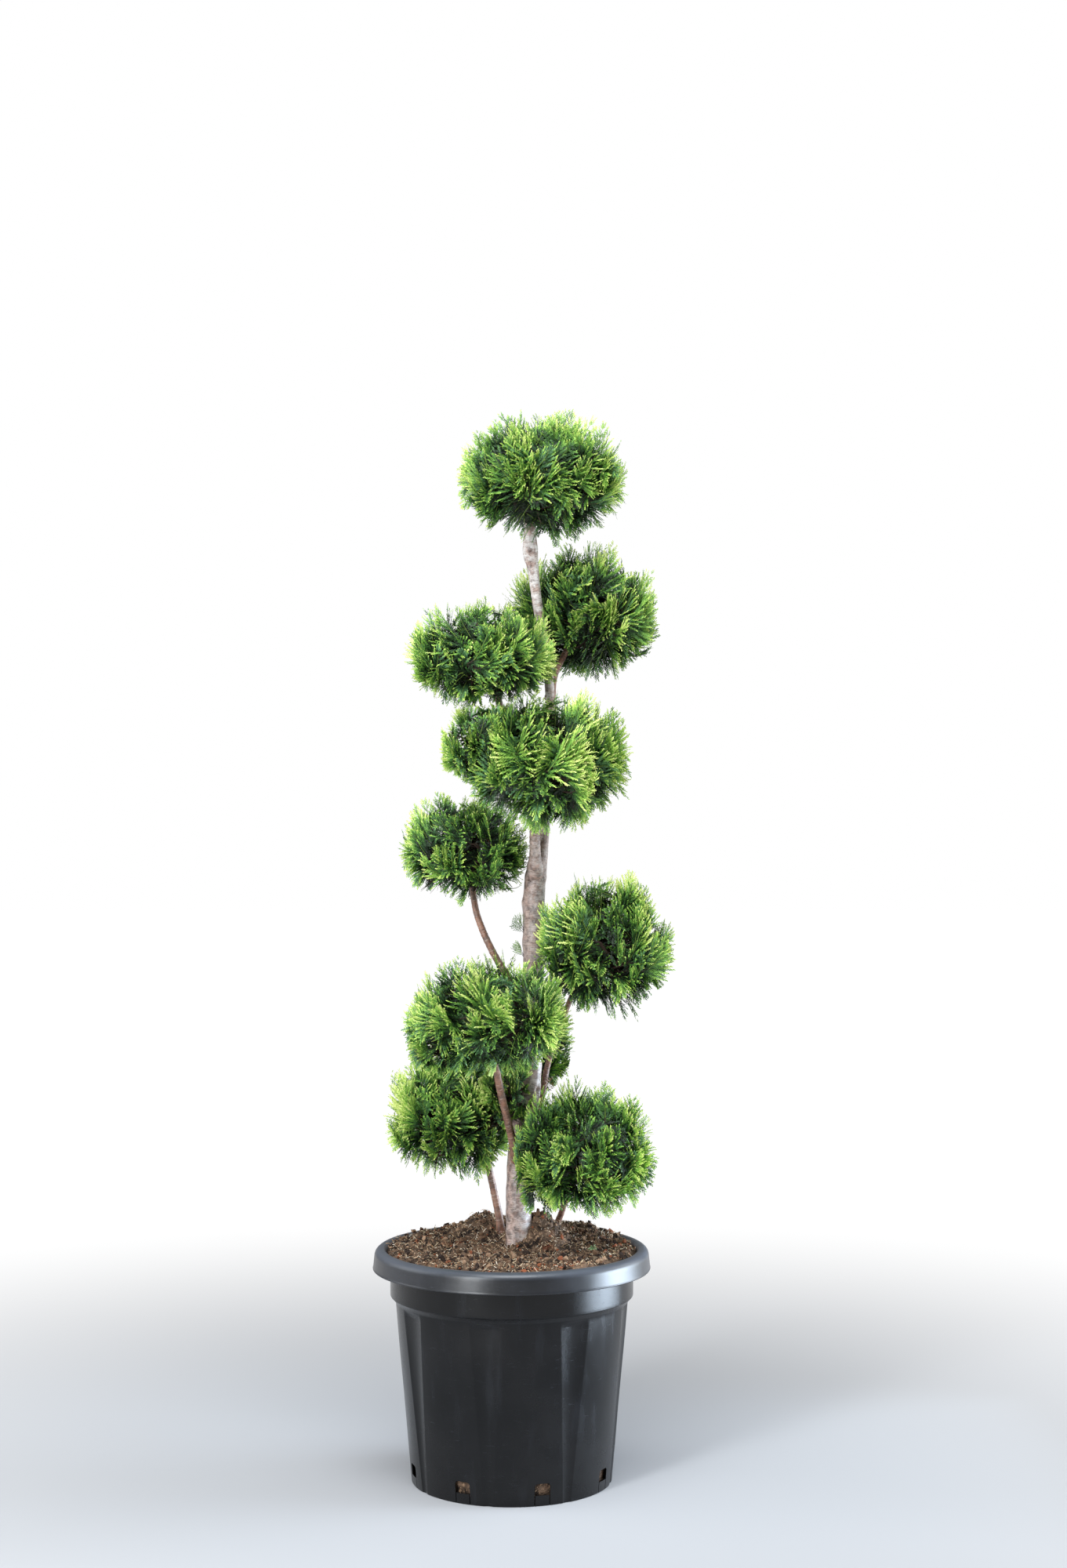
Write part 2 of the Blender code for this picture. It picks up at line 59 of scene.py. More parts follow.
lens = bpy.data.cameras.new("camera")
lens.sensor_width = FILM_SIZE
lens.lens = FOCAL_PIXELS / PHOTO_HEIGHT * FILM_SIZE
camera = bpy.data.objects.new("camera", lens)
camera.location = CAMERA_PLACE
camera.rotation_euler = (math.pi / 2, 0.0, 0.0)
bpy.context.collection.objects.link(camera)
bpy.context.scene.camera = camera


# Pot: a 30 litre nursery container of black polypropylene, injection moulded in one piece.
# The rim is folded over to a skirt, a plain band lies under it, and eight shallow flutes
# stiffen the tapered wall. Drain holes stand open low in the wall, each over a small tab.
POT_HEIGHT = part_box("pot")[1].z
POT_WALL = 0.0018
FLOOR = 0.0025
BASE_RADIUS = 0.1385
BODY_TOP = 0.2475
BODY_TOP_RADIUS = 0.1604
BAND_BOTTOM = 0.2555
BAND_RADIUS = 0.1680
RIM_BOTTOM = 0.2920
RIM_RADIUS = 0.1918
RIM_MOUTH_RADIUS = 0.1745
LIP_ROUNDING = 0.0100
LIP_EDGE = 0.0009
LIP_INSET = 0.0006
SKIRT_FLARE = 0.0022
SKIRT_BEAD = 0.72
BEAD_NECK = 0.0006
LEDGE = ((0.0016, 0.0010), (0.0004, 0.0003), (-0.0008, 0.0))
EDGE_ROUNDING = 0.0014
OUTSIDE_STEP = 0.0042
INSIDE_STEP = 0.016
SHARP_ANGLE = 48
FLUTES = 8
FLUTE_PHASE = -57.5
FLUTE_HALF_WIDTH = 8.2
FLUTE_NARROWING = 5.6
FLUTE_DEPTH = 0.0042
FLUTE_TOP = 0.2468
FLUTE_ARCH = 0.005
FLUTE_EDGE = 0.3
FLUTE_TOP_ROUNDING = 0.0030
FLUTE_COLUMNS = 23
PLAIN_COLUMNS = 9
WALL_WAVE = 0.00045
WALL_WAVE_SIZE = 0.075
WALL_WAVE_START = 0.05
DRAIN_HOLES = 8
DRAIN_PHASE = -72.5
DRAIN_WIDTH = 0.022
DRAIN_HEIGHT = 0.016
DRAIN_MIDDLE = 0.0225
DRAIN_CORNER = 0.0045
SLIT_WIDTH = 0.0012
SLIT_FOOT = -0.002
CUTTER_INSET = 0.008
CUTTER_LENGTH = 0.02


class Wire:
    """A socket of a finish's nodes. Arithmetic on it adds the Math node that works it out."""

    def __init__(self, socket):
        self.socket = socket

    def node(self, kind, settings=None, sockets=None, out=0):
        """A new node in the same finish: its settings first, then values or links by socket."""
        tree = self.socket.id_data
        node = tree.nodes.new(kind)
        for name, value in (settings or {}).items():
            setattr(node, name, value)
        for name, value in (sockets or {}).items():
            if isinstance(value, Wire):
                tree.links.new(value.socket, node.inputs[name])
            else:
                node.inputs[name].default_value = value
        return Wire(node.outputs[out])

    def maths(self, operation, first, second):
        """A Math node on two values or links."""
        return self.node("ShaderNodeMath", {"operation": operation}, {0: first, 1: second})

    def __add__(self, other):
        return self.maths("ADD", self, other)

    def __rsub__(self, other):
        return self.maths("SUBTRACT", other, self)

    def __mul__(self, other):
        return self.maths("MULTIPLY", self, other)

    __radd__ = __add__
    __rmul__ = __mul__

    def part(self, axis):
        """One part of this position: 0 for x, 1 for y and 2 for z."""
        return self.node("ShaderNodeSeparateXYZ", None, {0: self}, axis)

    def stretched(self, x, y, z):
        """This position, scaled apart along each of its axes."""
        return self.node("ShaderNodeVectorMath", {"operation": "MULTIPLY"}, {0: self, 1: (x, y, z)})

    def clouds(self, scale, detail=3.0, roughness=0.55):
        """Soft noise from 0 to 1 at this position."""
        sockets = {"Vector": self, "Scale": scale, "Detail": detail, "Roughness": roughness}
        return self.node("ShaderNodeTexNoise", None, sockets)

    def between(self, low, high):
        """A smooth mask: 0 where this value is under low, and 1 where it is over high."""
        sockets = {"Value": self, "From Min": low, "From Max": high}
        return self.node("ShaderNodeMapRange", {"interpolation_type": "SMOOTHSTEP"}, sockets)

    def tint(self, without, within):
        """One colour where this mask is 0, and another where it is 1."""
        return self.node("ShaderNodeMix", {"data_type": "RGBA"}, {0: self, 6: without, 7: within}, 2)

    def relief(self, height, strength=1.0):
        """A normal from this height, whose full range stands that many metres high."""
        sockets = {"Height": self, "Distance": height, "Strength": strength}
        return self.node("ShaderNodeBump", None, sockets)

    def feeds(self, shader, name):
        """Link this to one of a shader's sockets."""
        self.socket.id_data.links.new(self.socket, shader.inputs[name])


def shade(red, green, blue):
    """A colour as it looks on a screen, 0 to 255, in the scene's linear light."""
    return tuple(float(((c / 255 + 0.055) / 1.055) ** 2.4) for c in (red, green, blue)) + (1.0,)


def finish(name, values):
    """A material with its Principled values set, its shader, and its positions on the object."""
    material = bpy.data.materials.new(name)
    material.use_nodes = True
    shader = material.node_tree.nodes["Principled BSDF"]
    for socket, value in values.items():
        shader.inputs[socket].default_value = value
    place = material.node_tree.nodes.new("ShaderNodeTexCoord")
    return material, shader, Wire(place.outputs["Object"])


def add_piece(name, points, faces, materials, smooth=True, kinds=None):
    """A mesh piece on the plant's one body, from arrays of points and of faces' corners."""
    mesh = bpy.data.meshes.new(name)
    points = np.asarray(points, np.float32).reshape(-1, 3)
    faces = np.asarray(faces, np.int32)
    mesh.vertices.add(len(points))
    mesh.vertices.foreach_set("co", points.ravel())
    mesh.loops.add(faces.size)
    mesh.loops.foreach_set("vertex_index", faces.ravel())
    mesh.polygons.add(len(faces))
    mesh.polygons.foreach_set("loop_start", np.arange(len(faces), dtype=np.int32) * faces.shape[1])
    mesh.update(calc_edges=True)
    for material in materials:
        mesh.materials.append(material)
    if kinds is not None:
        mesh.polygons.foreach_set("material_index", np.asarray(kinds, np.int32))
    mesh.polygons.foreach_set("use_smooth", np.full(len(faces), smooth))
    piece = bpy.data.objects.new(name, mesh)
    bpy.context.collection.objects.link(piece)
    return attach(piece, "root")


def tidy(piece, sharp_angle, weld=1e-6):
    """Weld the points that fall together, face everything outwards, and mark sharp edges."""
    bm = bmesh.new()
    bm.from_mesh(piece.data)
    bmesh.ops.remove_doubles(bm, verts=bm.verts, dist=weld)
    bmesh.ops.recalc_face_normals(bm, faces=bm.faces)
    bm.to_mesh(piece.data)
    bm.free()
    piece.data.set_sharp_from_angle(angle=math.radians(sharp_angle))


def grid_faces(rows, columns, closed_up=False):
    """Four-cornered faces between rings of points, each ring closed on itself."""
    row = np.arange(rows if closed_up else rows - 1)[:, None]
    column = np.arange(columns)[None, :]
    above = (row + 1) % rows
    beside = (column + 1) % columns
    corners = (row * columns + column, row * columns + beside,
               above * columns + beside, above * columns + column)
    return np.stack(np.broadcast_arrays(*corners), axis=-1).reshape(-1, 4)


def corner(height, radius, rounding, start, end, steps=6):
    """A rounded corner of a turned section: points on an arc, angles counted up from outward."""
    turns = np.radians(np.linspace(start, end, steps))
    return np.stack([height + rounding * np.sin(turns), radius + rounding * np.cos(turns)], axis=1)


def stretch(section, step):
    """A section with further points along its straight runs, no more than a step apart."""
    filled = []
    for start, end in zip(section, section[1:]):
        count = max(1, math.ceil(float(np.linalg.norm(end - start)) / step))
        filled += [start + (end - start) * i / count for i in range(count)]
    return np.array(filled + [section[-1]])


def wall_radius(height):
    """Outer radius of the wall, up to where the rim folds over."""
    heights = (0.0, BODY_TOP, BAND_BOTTOM, RIM_BOTTOM, POT_HEIGHT)
    radii = (BASE_RADIUS, BODY_TOP_RADIUS, BAND_RADIUS, BAND_RADIUS, RIM_MOUTH_RADIUS + POT_WALL)
    return np.interp(height, heights, radii)


def smoothstep(low, high, value):
    """0 under low, 1 over high, and a smooth rise between them."""
    share = np.clip((value - low) / (high - low), 0.0, 1.0)
    return share * share * (3 - 2 * share)


def flute_half_width(height):
    """Half the width of a flute in degrees: widest under the ledge and narrower further down."""
    return FLUTE_HALF_WIDTH - FLUTE_NARROWING * (1 - np.clip(height / FLUTE_TOP, 0.0, 1.0))


def flute(angle, height):
    """How far the wall is pressed in: hollow flutes with rounded tops that run out at the foot."""
    pitch = 360.0 / FLUTES
    off = np.abs((angle - FLUTE_PHASE + pitch / 2) % pitch - pitch / 2)
    half = flute_half_width(height)
    hollow = np.clip(1 - (off / half) ** 2, 0.0, 1.0)
    top = FLUTE_TOP - FLUTE_ARCH * np.clip(off / FLUTE_HALF_WIDTH, 0.0, 1.0) ** 4
    under_top = 1 - smoothstep(-FLUTE_TOP_ROUNDING, 0.0, height - top)
    return FLUTE_DEPTH * half / FLUTE_HALF_WIDTH * hollow * under_top


def pot_section():
    """The pot's closed section as height and radius, from its inner lip, over and round to it."""
    lip = RIM_MOUTH_RADIUS + POT_WALL
    skirt = RIM_RADIUS - POT_WALL
    skirt_top = RIM_RADIUS - SKIRT_FLARE
    bead = POT_WALL * SKIRT_BEAD
    outside = np.vstack([
        corner(POT_HEIGHT - LIP_EDGE, lip + LIP_INSET, LIP_EDGE, 150, 90, 4),
        corner(POT_HEIGHT - LIP_ROUNDING, skirt_top - LIP_ROUNDING, LIP_ROUNDING, 86, 8, 12),
        [(RIM_BOTTOM + 3.0 * bead, RIM_RADIUS - BEAD_NECK)],
        corner(RIM_BOTTOM + bead, RIM_RADIUS - bead, bead, 50, -200, 11),
        [(RIM_BOTTOM + 3.4 * bead, skirt - BEAD_NECK)],
        [(POT_HEIGHT - LIP_ROUNDING, skirt_top - POT_WALL)],
        [(POT_HEIGHT - POT_WALL, wall_radius(POT_HEIGHT) + POT_WALL)],
        [(RIM_BOTTOM, BAND_RADIUS)],
        corner(BAND_BOTTOM + EDGE_ROUNDING, BAND_RADIUS - EDGE_ROUNDING, EDGE_ROUNDING, 0, -62, 6),
        [(BODY_TOP + up, BODY_TOP_RADIUS + out) for up, out in LEDGE],
        corner(EDGE_ROUNDING, BASE_RADIUS - EDGE_ROUNDING, EDGE_ROUNDING, 0, -90, 5),
        [(0.0, 0.0)],
    ])
    inner_heights = (FLOOR, BODY_TOP, BAND_BOTTOM, RIM_BOTTOM, POT_HEIGHT - POT_WALL)
    inside = [(FLOOR, 0.0)] + [(height, wall_radius(height) - POT_WALL) for height in inner_heights]
    return stretch(outside, OUTSIDE_STEP), stretch(np.array(inside), INSIDE_STEP)


def pot_angles(height):
    """Angles round the pot in degrees from the front, with a line down each edge of each flute."""
    half, half_pitch = flute_half_width(height), 180.0 / FLUTES
    plain = np.linspace(half + FLUTE_EDGE, half_pitch, PLAIN_COLUMNS)
    hollow = np.linspace(-half, half, FLUTE_COLUMNS)
    one = np.concatenate([-plain[::-1], hollow, plain[:-1]])
    return np.concatenate([FLUTE_PHASE + 2 * half_pitch * i + one for i in range(FLUTES)])


def drain_outline():
    """A drain hole and the two slits under it, as one outline of sideways and height."""
    half, top = DRAIN_WIDTH / 2, DRAIN_MIDDLE + DRAIN_HEIGHT / 2
    bottom = DRAIN_MIDDLE - DRAIN_HEIGHT / 2
    reach = half - DRAIN_CORNER
    right = corner(top - DRAIN_CORNER, reach, DRAIN_CORNER, 0, 90, 6)
    left = corner(top - DRAIN_CORNER, -reach, DRAIN_CORNER, 90, 180, 6)
    upper = [(sideways, height) for height, sideways in np.vstack([right, left])]
    slits = [(-half, SLIT_FOOT), (-half + SLIT_WIDTH, SLIT_FOOT), (-half + SLIT_WIDTH, bottom),
             (half - SLIT_WIDTH, bottom), (half - SLIT_WIDTH, SLIT_FOOT), (half, SLIT_FOOT)]
    return upper + slits


outer_section, inner_section = pot_section()
section = np.vstack([outer_section, inner_section])
angles = np.array([pot_angles(level) for level in section[:, 0]])
height = np.repeat(section[:, 0:1], angles.shape[1], axis=1)
turn = np.radians(angles)
pressed = flute(angles, height) * (section[:, 1:2] > POT_WALL)
pressed[section[:, 0] > BODY_TOP] = 0.0
radius = section[:, 1:2] - pressed
points = np.stack([radius * np.sin(turn), -radius * np.cos(turn), height], axis=-1)
wave = np.array([noise.noise(Vector(p) / WALL_WAVE_SIZE) for p in points.reshape(-1, 3)])
wave = WALL_WAVE * wave.reshape(radius.shape) * smoothstep(0.0, WALL_WAVE_START, height)
wave *= section[:, 1:2] > POT_WALL
points[..., 0] += wave * np.sin(turn)
points[..., 1] -= wave * np.cos(turn)


def black_plastic(name, gloss, roughness, clean, worn, wear, painted_lip_highlight):
    """Satin black plastic: a film of dust, streaks down the wall, scuffs, a fine grain, and a painted
    highlight on the lip.
    """
    material, shader, place = finish(name, {"Specular IOR Level": gloss})
    film = place.clouds(9.0, 4.0)
    scuffs = place.stretched(1.0, 1.0, 6.0).clouds(60.0, 5.0, 0.7).between(0.60, 0.78)
    streaks = place.stretched(3.5, 3.5, 0.6).clouds(16.0, 4.0).between(0.50, 0.78)
    height = place.part(2)
    low_down = 1 - height.between(0.0, 0.11)
    dust = film.between(0.40, 0.75) * 0.35 + low_down * place.clouds(45.0, 4.0) * 0.5
    plain = film.between(0.3, 0.7).tint(clean, worn)
    scuffs_and_lip_highlight = (scuffs * wear + streaks * 0.05).tint(plain, shade(78, 84, 96))
    # The top rounding of the lip is painted a lighter blue grey: a painted highlight in place of the
    # overhead light's reflection.
    lip_highlight_mask = height.between(POT_HEIGHT - 0.010, POT_HEIGHT - 0.001) * (film * 0.6 + 0.5)
    scuffs_and_lip_highlight = (lip_highlight_mask * painted_lip_highlight).tint(scuffs_and_lip_highlight, shade(104, 110, 121))
    (dust * 0.10).tint(scuffs_and_lip_highlight, shade(84, 80, 76)).feeds(shader, "Base Color")
    (film * 0.10 + dust * 0.16 + scuffs * 0.20 + streaks * 0.10 + roughness).feeds(shader, "Roughness")
    grain = place.clouds(900.0, 2.0) * 0.5 + place.clouds(35.0, 3.0)
    grain.relief(0.00022, 0.8).feeds(shader, "Normal")
    return material


wall_plastic = black_plastic("wall_plastic", 0.30, 0.17, shade(4, 5, 7), shade(9, 10, 13), 0.18, 0.0)
# The rim's last value is the strength of its painted highlight along the lip; the wall has none.
rim_plastic = black_plastic("rim_plastic", 0.52, 0.28, shade(16, 17, 20), shade(34, 36, 42), 0.45, 0.55)
columns = angles.shape[1]
level = section[:, 0]
on_rim = np.minimum(level, np.roll(level, -1)) > RIM_BOTTOM - 0.0001
pot = add_piece("pot_container", points, grid_faces(len(section), columns, True),
                [wall_plastic, rim_plastic], True, on_rim.astype(int).repeat(columns))
tidy(pot, SHARP_ANGLE)
cutter_mesh = bmesh.new()
outline = drain_outline()
inner = wall_radius(DRAIN_MIDDLE) - CUTTER_INSET
for i in range(DRAIN_HOLES):
    round_pot = Matrix.Rotation(math.radians(DRAIN_PHASE + 360 * i / DRAIN_HOLES), 4, "Z")
    ends = [[cutter_mesh.verts.new(round_pot @ Vector((x, -reach, z))) for x, z in outline]
            for reach in (inner, inner + CUTTER_LENGTH)]
    cutter_mesh.faces.new(ends[0])
    cutter_mesh.faces.new(ends[1][::-1])
    for j in range(len(outline)):
        k = (j + 1) % len(outline)
        cutter_mesh.faces.new((ends[0][j], ends[1][j], ends[1][k], ends[0][k]))
bmesh.ops.recalc_face_normals(cutter_mesh, faces=cutter_mesh.faces)
cutter_data = bpy.data.meshes.new("drain_cutter")
cutter_mesh.to_mesh(cutter_data)
cutter_mesh.free()
cutter = bpy.data.objects.new("drain_cutter", cutter_data)
bpy.context.collection.objects.link(cutter)
cut = pot.modifiers.new("drain_holes", "BOOLEAN")
cut.object = cutter
cut.operation = "DIFFERENCE"
pierced = bpy.data.meshes.new_from_object(pot.evaluated_get(bpy.context.evaluated_depsgraph_get()))
pot.modifiers.clear()
pot.data = pierced
bpy.data.objects.remove(cutter)
tidy(pot, SHARP_ANGLE)
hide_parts("pot")


# Compost: dark peat with bark crumbs and pale plant fibres, filled to just under the lip.
# The old root ball stands proud of it behind and beside the trunk. It shows at the drain holes.
SOIL_EDGE = 0.3130
SOIL_EDGE_GAP = 0.0004
SOIL_RIM_GAP = 0.0005
SOIL_MIDDLE = 0.0006
SOIL_ROW_CROWDING = 1.15
SOIL_EDGE_ROUGHNESS = 0.25
SOIL_EDGE_WIDTH = 0.012
SOIL_LEVEL = 0.3190
SOIL_RINGS = (FLOOR + 0.0003, 0.012, 0.024, 0.036, 0.10, BODY_TOP, BAND_BOTTOM, RIM_BOTTOM)

# Heaps in the compost: x and y of the top, how high it rises, and how far it spreads.
SOIL_MOUNDS = (
    (-0.030, 0.090, 0.029, 0.050),
    (0.042, 0.020, 0.034, 0.036),
    (0.085, 0.085, 0.016, 0.050),
    (-0.120, 0.000, 0.006, 0.040),
    (0.034, -0.004, 0.020, 0.024),
)
SOIL_LUMP = 0.0035
SOIL_LUMP_SIZE = 0.035
CLOD = 0.0066
CLOD_SIZE = 0.0095
CLOD_OCTAVES = 5
CLOD_SHARPNESS = 0.75
CLOD_FINENESS = 2.1
CLOD_TALLER = 1.5
CLOD_UP_DOWN = 0.55
CLOD_UP = 0.35
SOIL_COLUMNS = 400
SOIL_ROWS = 130
CRUMBS = 3200
CRUMB_SMALLEST = 0.0007
CRUMB_GROWTH = 0.0034
CRUMB_INSET = 0.003
CRUMB_SQUASH = (0.45, 1.25)
CRUMB_BUMPS = 0.28
CRUMB_BUMP_LIMIT = 1.6
CRUMB_RAISED = 0.35
CRUMB_COLOURS = ((44, 32, 26), (100, 75, 57), (150, 122, 98), (134, 78, 52))
CRUMB_SHARES = (0.40, 0.34, 0.16, 0.10)
REDDISH = 3
BARK_PATCH = (0.060, -0.150)
BARK_PATCH_SIZE = (0.050, 0.022)
BARK_PATCH_SHARE = 0.7
FIBRES = 3200
FIBRE_POINTS = 6
FIBRE_SHORTEST = 0.0022
FIBRE_GROWTH = 0.0062
FIBRE_INSET = 0.004
FIBRE_BEND = 1.1
FIBRE_RISE = 0.55
FIBRE_RAISED = 0.0007
FIBRE_ARCH = 0.30
FIBRE_TAPER = 0.9
FIBRE_RADII = (0.00022, 0.00048)
FIBRE_COLOURS = ((220, 198, 166), (182, 146, 110), (238, 226, 206))
FIBRE_SHARES = (0.45, 0.35, 0.20)


def soil_height(x, y):
    """Height of the compost, heaped over the root ball, lumpy, and rough with clods."""
    height = SOIL_LEVEL
    for mound_x, mound_y, rise, spread in SOIL_MOUNDS:
        height += rise * math.exp(-((x - mound_x) ** 2 + (y - mound_y) ** 2) / spread ** 2)
    height += SOIL_LUMP * noise.noise(Vector((x, y, SOIL_LEVEL)) / SOIL_LUMP_SIZE)
    place = Vector((x, y, height * CLOD_TALLER)) / CLOD_SIZE
    clods = noise.fractal(place, CLOD_SHARPNESS, CLOD_FINENESS, CLOD_OCTAVES)
    return height + CLOD * (CLOD_UP_DOWN * clods + CLOD_UP * abs(clods))


def tubes(paths, radii, sides):
    """Thin twigs or fibres: rings round many paths of the same number of points, closed at ends."""
    ahead = np.gradient(paths, axis=1)
    ahead /= np.linalg.norm(ahead, axis=2, keepdims=True) + 1e-9
    side = np.cross(ahead, (0.31, 0.52, 0.79))
    side /= np.linalg.norm(side, axis=2, keepdims=True) + 1e-9
    across = np.cross(ahead, side)
    turns = 2 * math.pi * np.arange(sides) / sides
    ring = (np.cos(turns)[:, None] * side[:, :, None, :] + np.sin(turns)[:, None] * across[:, :, None, :])
    points = paths[:, :, None, :] + radii[:, :, None, None] * ring
    one = grid_faces(paths.shape[1], sides)
    one = np.vstack([one[:, (0, 1, 2)], one[:, (0, 2, 3)]])
    faces = one[None] + (np.arange(len(paths)) * paths.shape[1] * sides)[:, None, None]
    return points.reshape(-1, 3), faces.reshape(-1, 3)


def close_ends(piece, sides):
    """Close a ringed piece with a face over its first ring and one over its last."""
    bm = bmesh.new()
    bm.from_mesh(piece.data)
    bm.verts.ensure_lookup_table()
    last = len(bm.verts) - sides
    bm.faces.new([bm.verts[i] for i in range(sides)])
    bm.faces.new([bm.verts[last + i] for i in range(sides)])
    bmesh.ops.recalc_face_normals(bm, faces=bm.faces)
    bm.to_mesh(piece.data)
    bm.free()


rng = np.random.default_rng(5)
edge_radius = float(wall_radius(SOIL_EDGE)) - POT_WALL - SOIL_EDGE_GAP
turn = 2 * math.pi * np.arange(SOIL_COLUMNS) / SOIL_COLUMNS
rings = []
for level in SOIL_RINGS:
    clearance = FLUTE_DEPTH + SOIL_EDGE_GAP if level <= BODY_TOP else SOIL_RIM_GAP
    reach = float(wall_radius(level)) - POT_WALL - clearance
    rings.append(np.stack([reach * np.sin(turn), -reach * np.cos(turn), np.full_like(turn, level)], 1))
for share in 1 - np.linspace(0, 1, SOIL_ROWS) ** SOIL_ROW_CROWDING:
    reach = max(edge_radius * share, SOIL_MIDDLE)
    x, y = reach * np.sin(turn), -reach * np.cos(turn)
    z = np.array([soil_height(a, b) for a, b in zip(x, y)])
    away = smoothstep(0.0, SOIL_EDGE_WIDTH, edge_radius - reach)
    rough = SOIL_EDGE_ROUGHNESS + (1 - SOIL_EDGE_ROUGHNESS) * away
    rings.append(np.stack([x, y, SOIL_EDGE + (z - SOIL_EDGE) * rough], 1))

compost, shader, place = finish("compost", {"Specular IOR Level": 0.25})
clumps = place.clouds(55.0, 5.0, 0.65)
crumbs = place.node("ShaderNodeTexVoronoi", {"feature": "F1"}, {"Vector": place, "Scale": 420.0})
peat = clumps.between(0.35, 0.68).tint(shade(27, 20, 16), shade(120, 97, 79))
rusty = place.clouds(30.0, 3.0).between(0.60, 0.74)
reddened = (rusty * 0.4).tint(peat, shade(146, 78, 48))
pale = place.clouds(260.0, 3.0).between(0.56, 0.68)
(pale * 0.7).tint(reddened, shade(172, 140, 112)).feeds(shader, "Base Color")
(clumps * 0.1 + 0.85).feeds(shader, "Roughness")
(clumps + crumbs * 0.6).relief(0.0016).feeds(shader, "Normal")

soil = add_piece("compost_filling", rings, grid_faces(len(rings), SOIL_COLUMNS), [compost])
close_ends(soil, SOIL_COLUMNS)
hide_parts("soil")


def loose_colours(name, colours, roughness):
    """Plain finishes for small scattered bits, one for each colour."""
    finishes = []
    for i, colour in enumerate(colours):
        values = {"Base Color": shade(*colour), "Roughness": roughness, "Specular IOR Level": 0.3}
        finishes.append(finish(name + "_" + str(i + 1), values)[0])
    return finishes


def scattered(count, edge):
    """Places on the compost, chosen evenly over it by chance."""
    reach = edge * np.sqrt(rng.random(count))
    turn = 2 * math.pi * rng.random(count)
    x, y = reach * np.sin(turn), -reach * np.cos(turn)
    return np.stack([x, y, [soil_height(a, b) for a, b in zip(x, y)]], axis=1)


def turned_at_random(count):
    """As many random rotations as asked for, as 3 by 3 matrices."""
    axes = rng.normal(size=(count, 3, 3))
    return np.linalg.qr(axes)[0]


lump_mesh = bmesh.new()
bmesh.ops.create_icosphere(lump_mesh, subdivisions=1, radius=1.0)
lump_points = np.array([v.co for v in lump_mesh.verts])
lump_faces = np.array([[v.index for v in f.verts] for f in lump_mesh.faces])
lump_mesh.free()
places = scattered(CRUMBS, edge_radius - CRUMB_INSET)
sizes = CRUMB_SMALLEST + CRUMB_GROWTH * rng.random(CRUMBS) ** 4
squash = sizes[:, None] * rng.uniform(*CRUMB_SQUASH, (CRUMBS, 3))
bumps = rng.normal(size=(CRUMBS, len(lump_points), 1)).clip(-CRUMB_BUMP_LIMIT, CRUMB_BUMP_LIMIT)
bumps = 1 + CRUMB_BUMPS * bumps
bits = lump_points[None] * bumps * squash[:, None, :]
bits = np.einsum("nij,nkj->nki", turned_at_random(CRUMBS), bits) + places[:, None, :]
bits[:, :, 2] += sizes[:, None] * CRUMB_RAISED
faces = lump_faces[None] + (np.arange(CRUMBS) * len(lump_points))[:, None, None]
crumb_finishes = loose_colours("crumb", CRUMB_COLOURS, 0.9)
kinds = rng.choice(len(CRUMB_COLOURS), CRUMBS, p=CRUMB_SHARES)
from_patch = ((places[:, :2] - BARK_PATCH) / BARK_PATCH_SIZE) ** 2
kinds[(from_patch.sum(axis=1) < 1) & (rng.random(CRUMBS) < BARK_PATCH_SHARE)] = REDDISH
kinds = kinds.repeat(len(lump_faces))
crumb_piece = add_piece("compost_crumbs", bits, faces.reshape(-1, 3), crumb_finishes, False, kinds)

places = scattered(FIBRES, edge_radius - FIBRE_INSET)
heading = 2 * math.pi * rng.random(FIBRES)
length = FIBRE_SHORTEST + FIBRE_GROWTH * rng.random(FIBRES) ** 1.8
along = np.linspace(-0.5, 0.5, FIBRE_POINTS)
bend = rng.normal(0.0, FIBRE_BEND, FIBRES)
course = heading[:, None] + bend[:, None] * along
rise = rng.normal(0.0, FIBRE_RISE, FIBRES)
steps = length[:, None] / (FIBRE_POINTS - 1)
line = np.stack([np.cumsum(np.cos(course) * steps, 1), np.cumsum(np.sin(course) * steps, 1),
                 along * rise[:, None] * length[:, None]], axis=2)
line += places[:, None, :] + np.array((0.0, 0.0, FIBRE_RAISED))
line[:, :, 2] += (0.25 - along ** 2) * length[:, None] * FIBRE_ARCH
thick = rng.uniform(*FIBRE_RADII, FIBRES)[:, None] * (1 - FIBRE_TAPER * (2 * np.abs(along)) ** 4)
points, faces = tubes(line, thick, 3)
fibre_finishes = loose_colours("fibre", FIBRE_COLOURS, 0.8)
kinds = rng.choice(len(FIBRE_COLOURS), FIBRES, p=FIBRE_SHARES).repeat(len(faces) // FIBRES)
fibre_piece = add_piece("compost_fibres", points, faces, fibre_finishes, True, kinds)


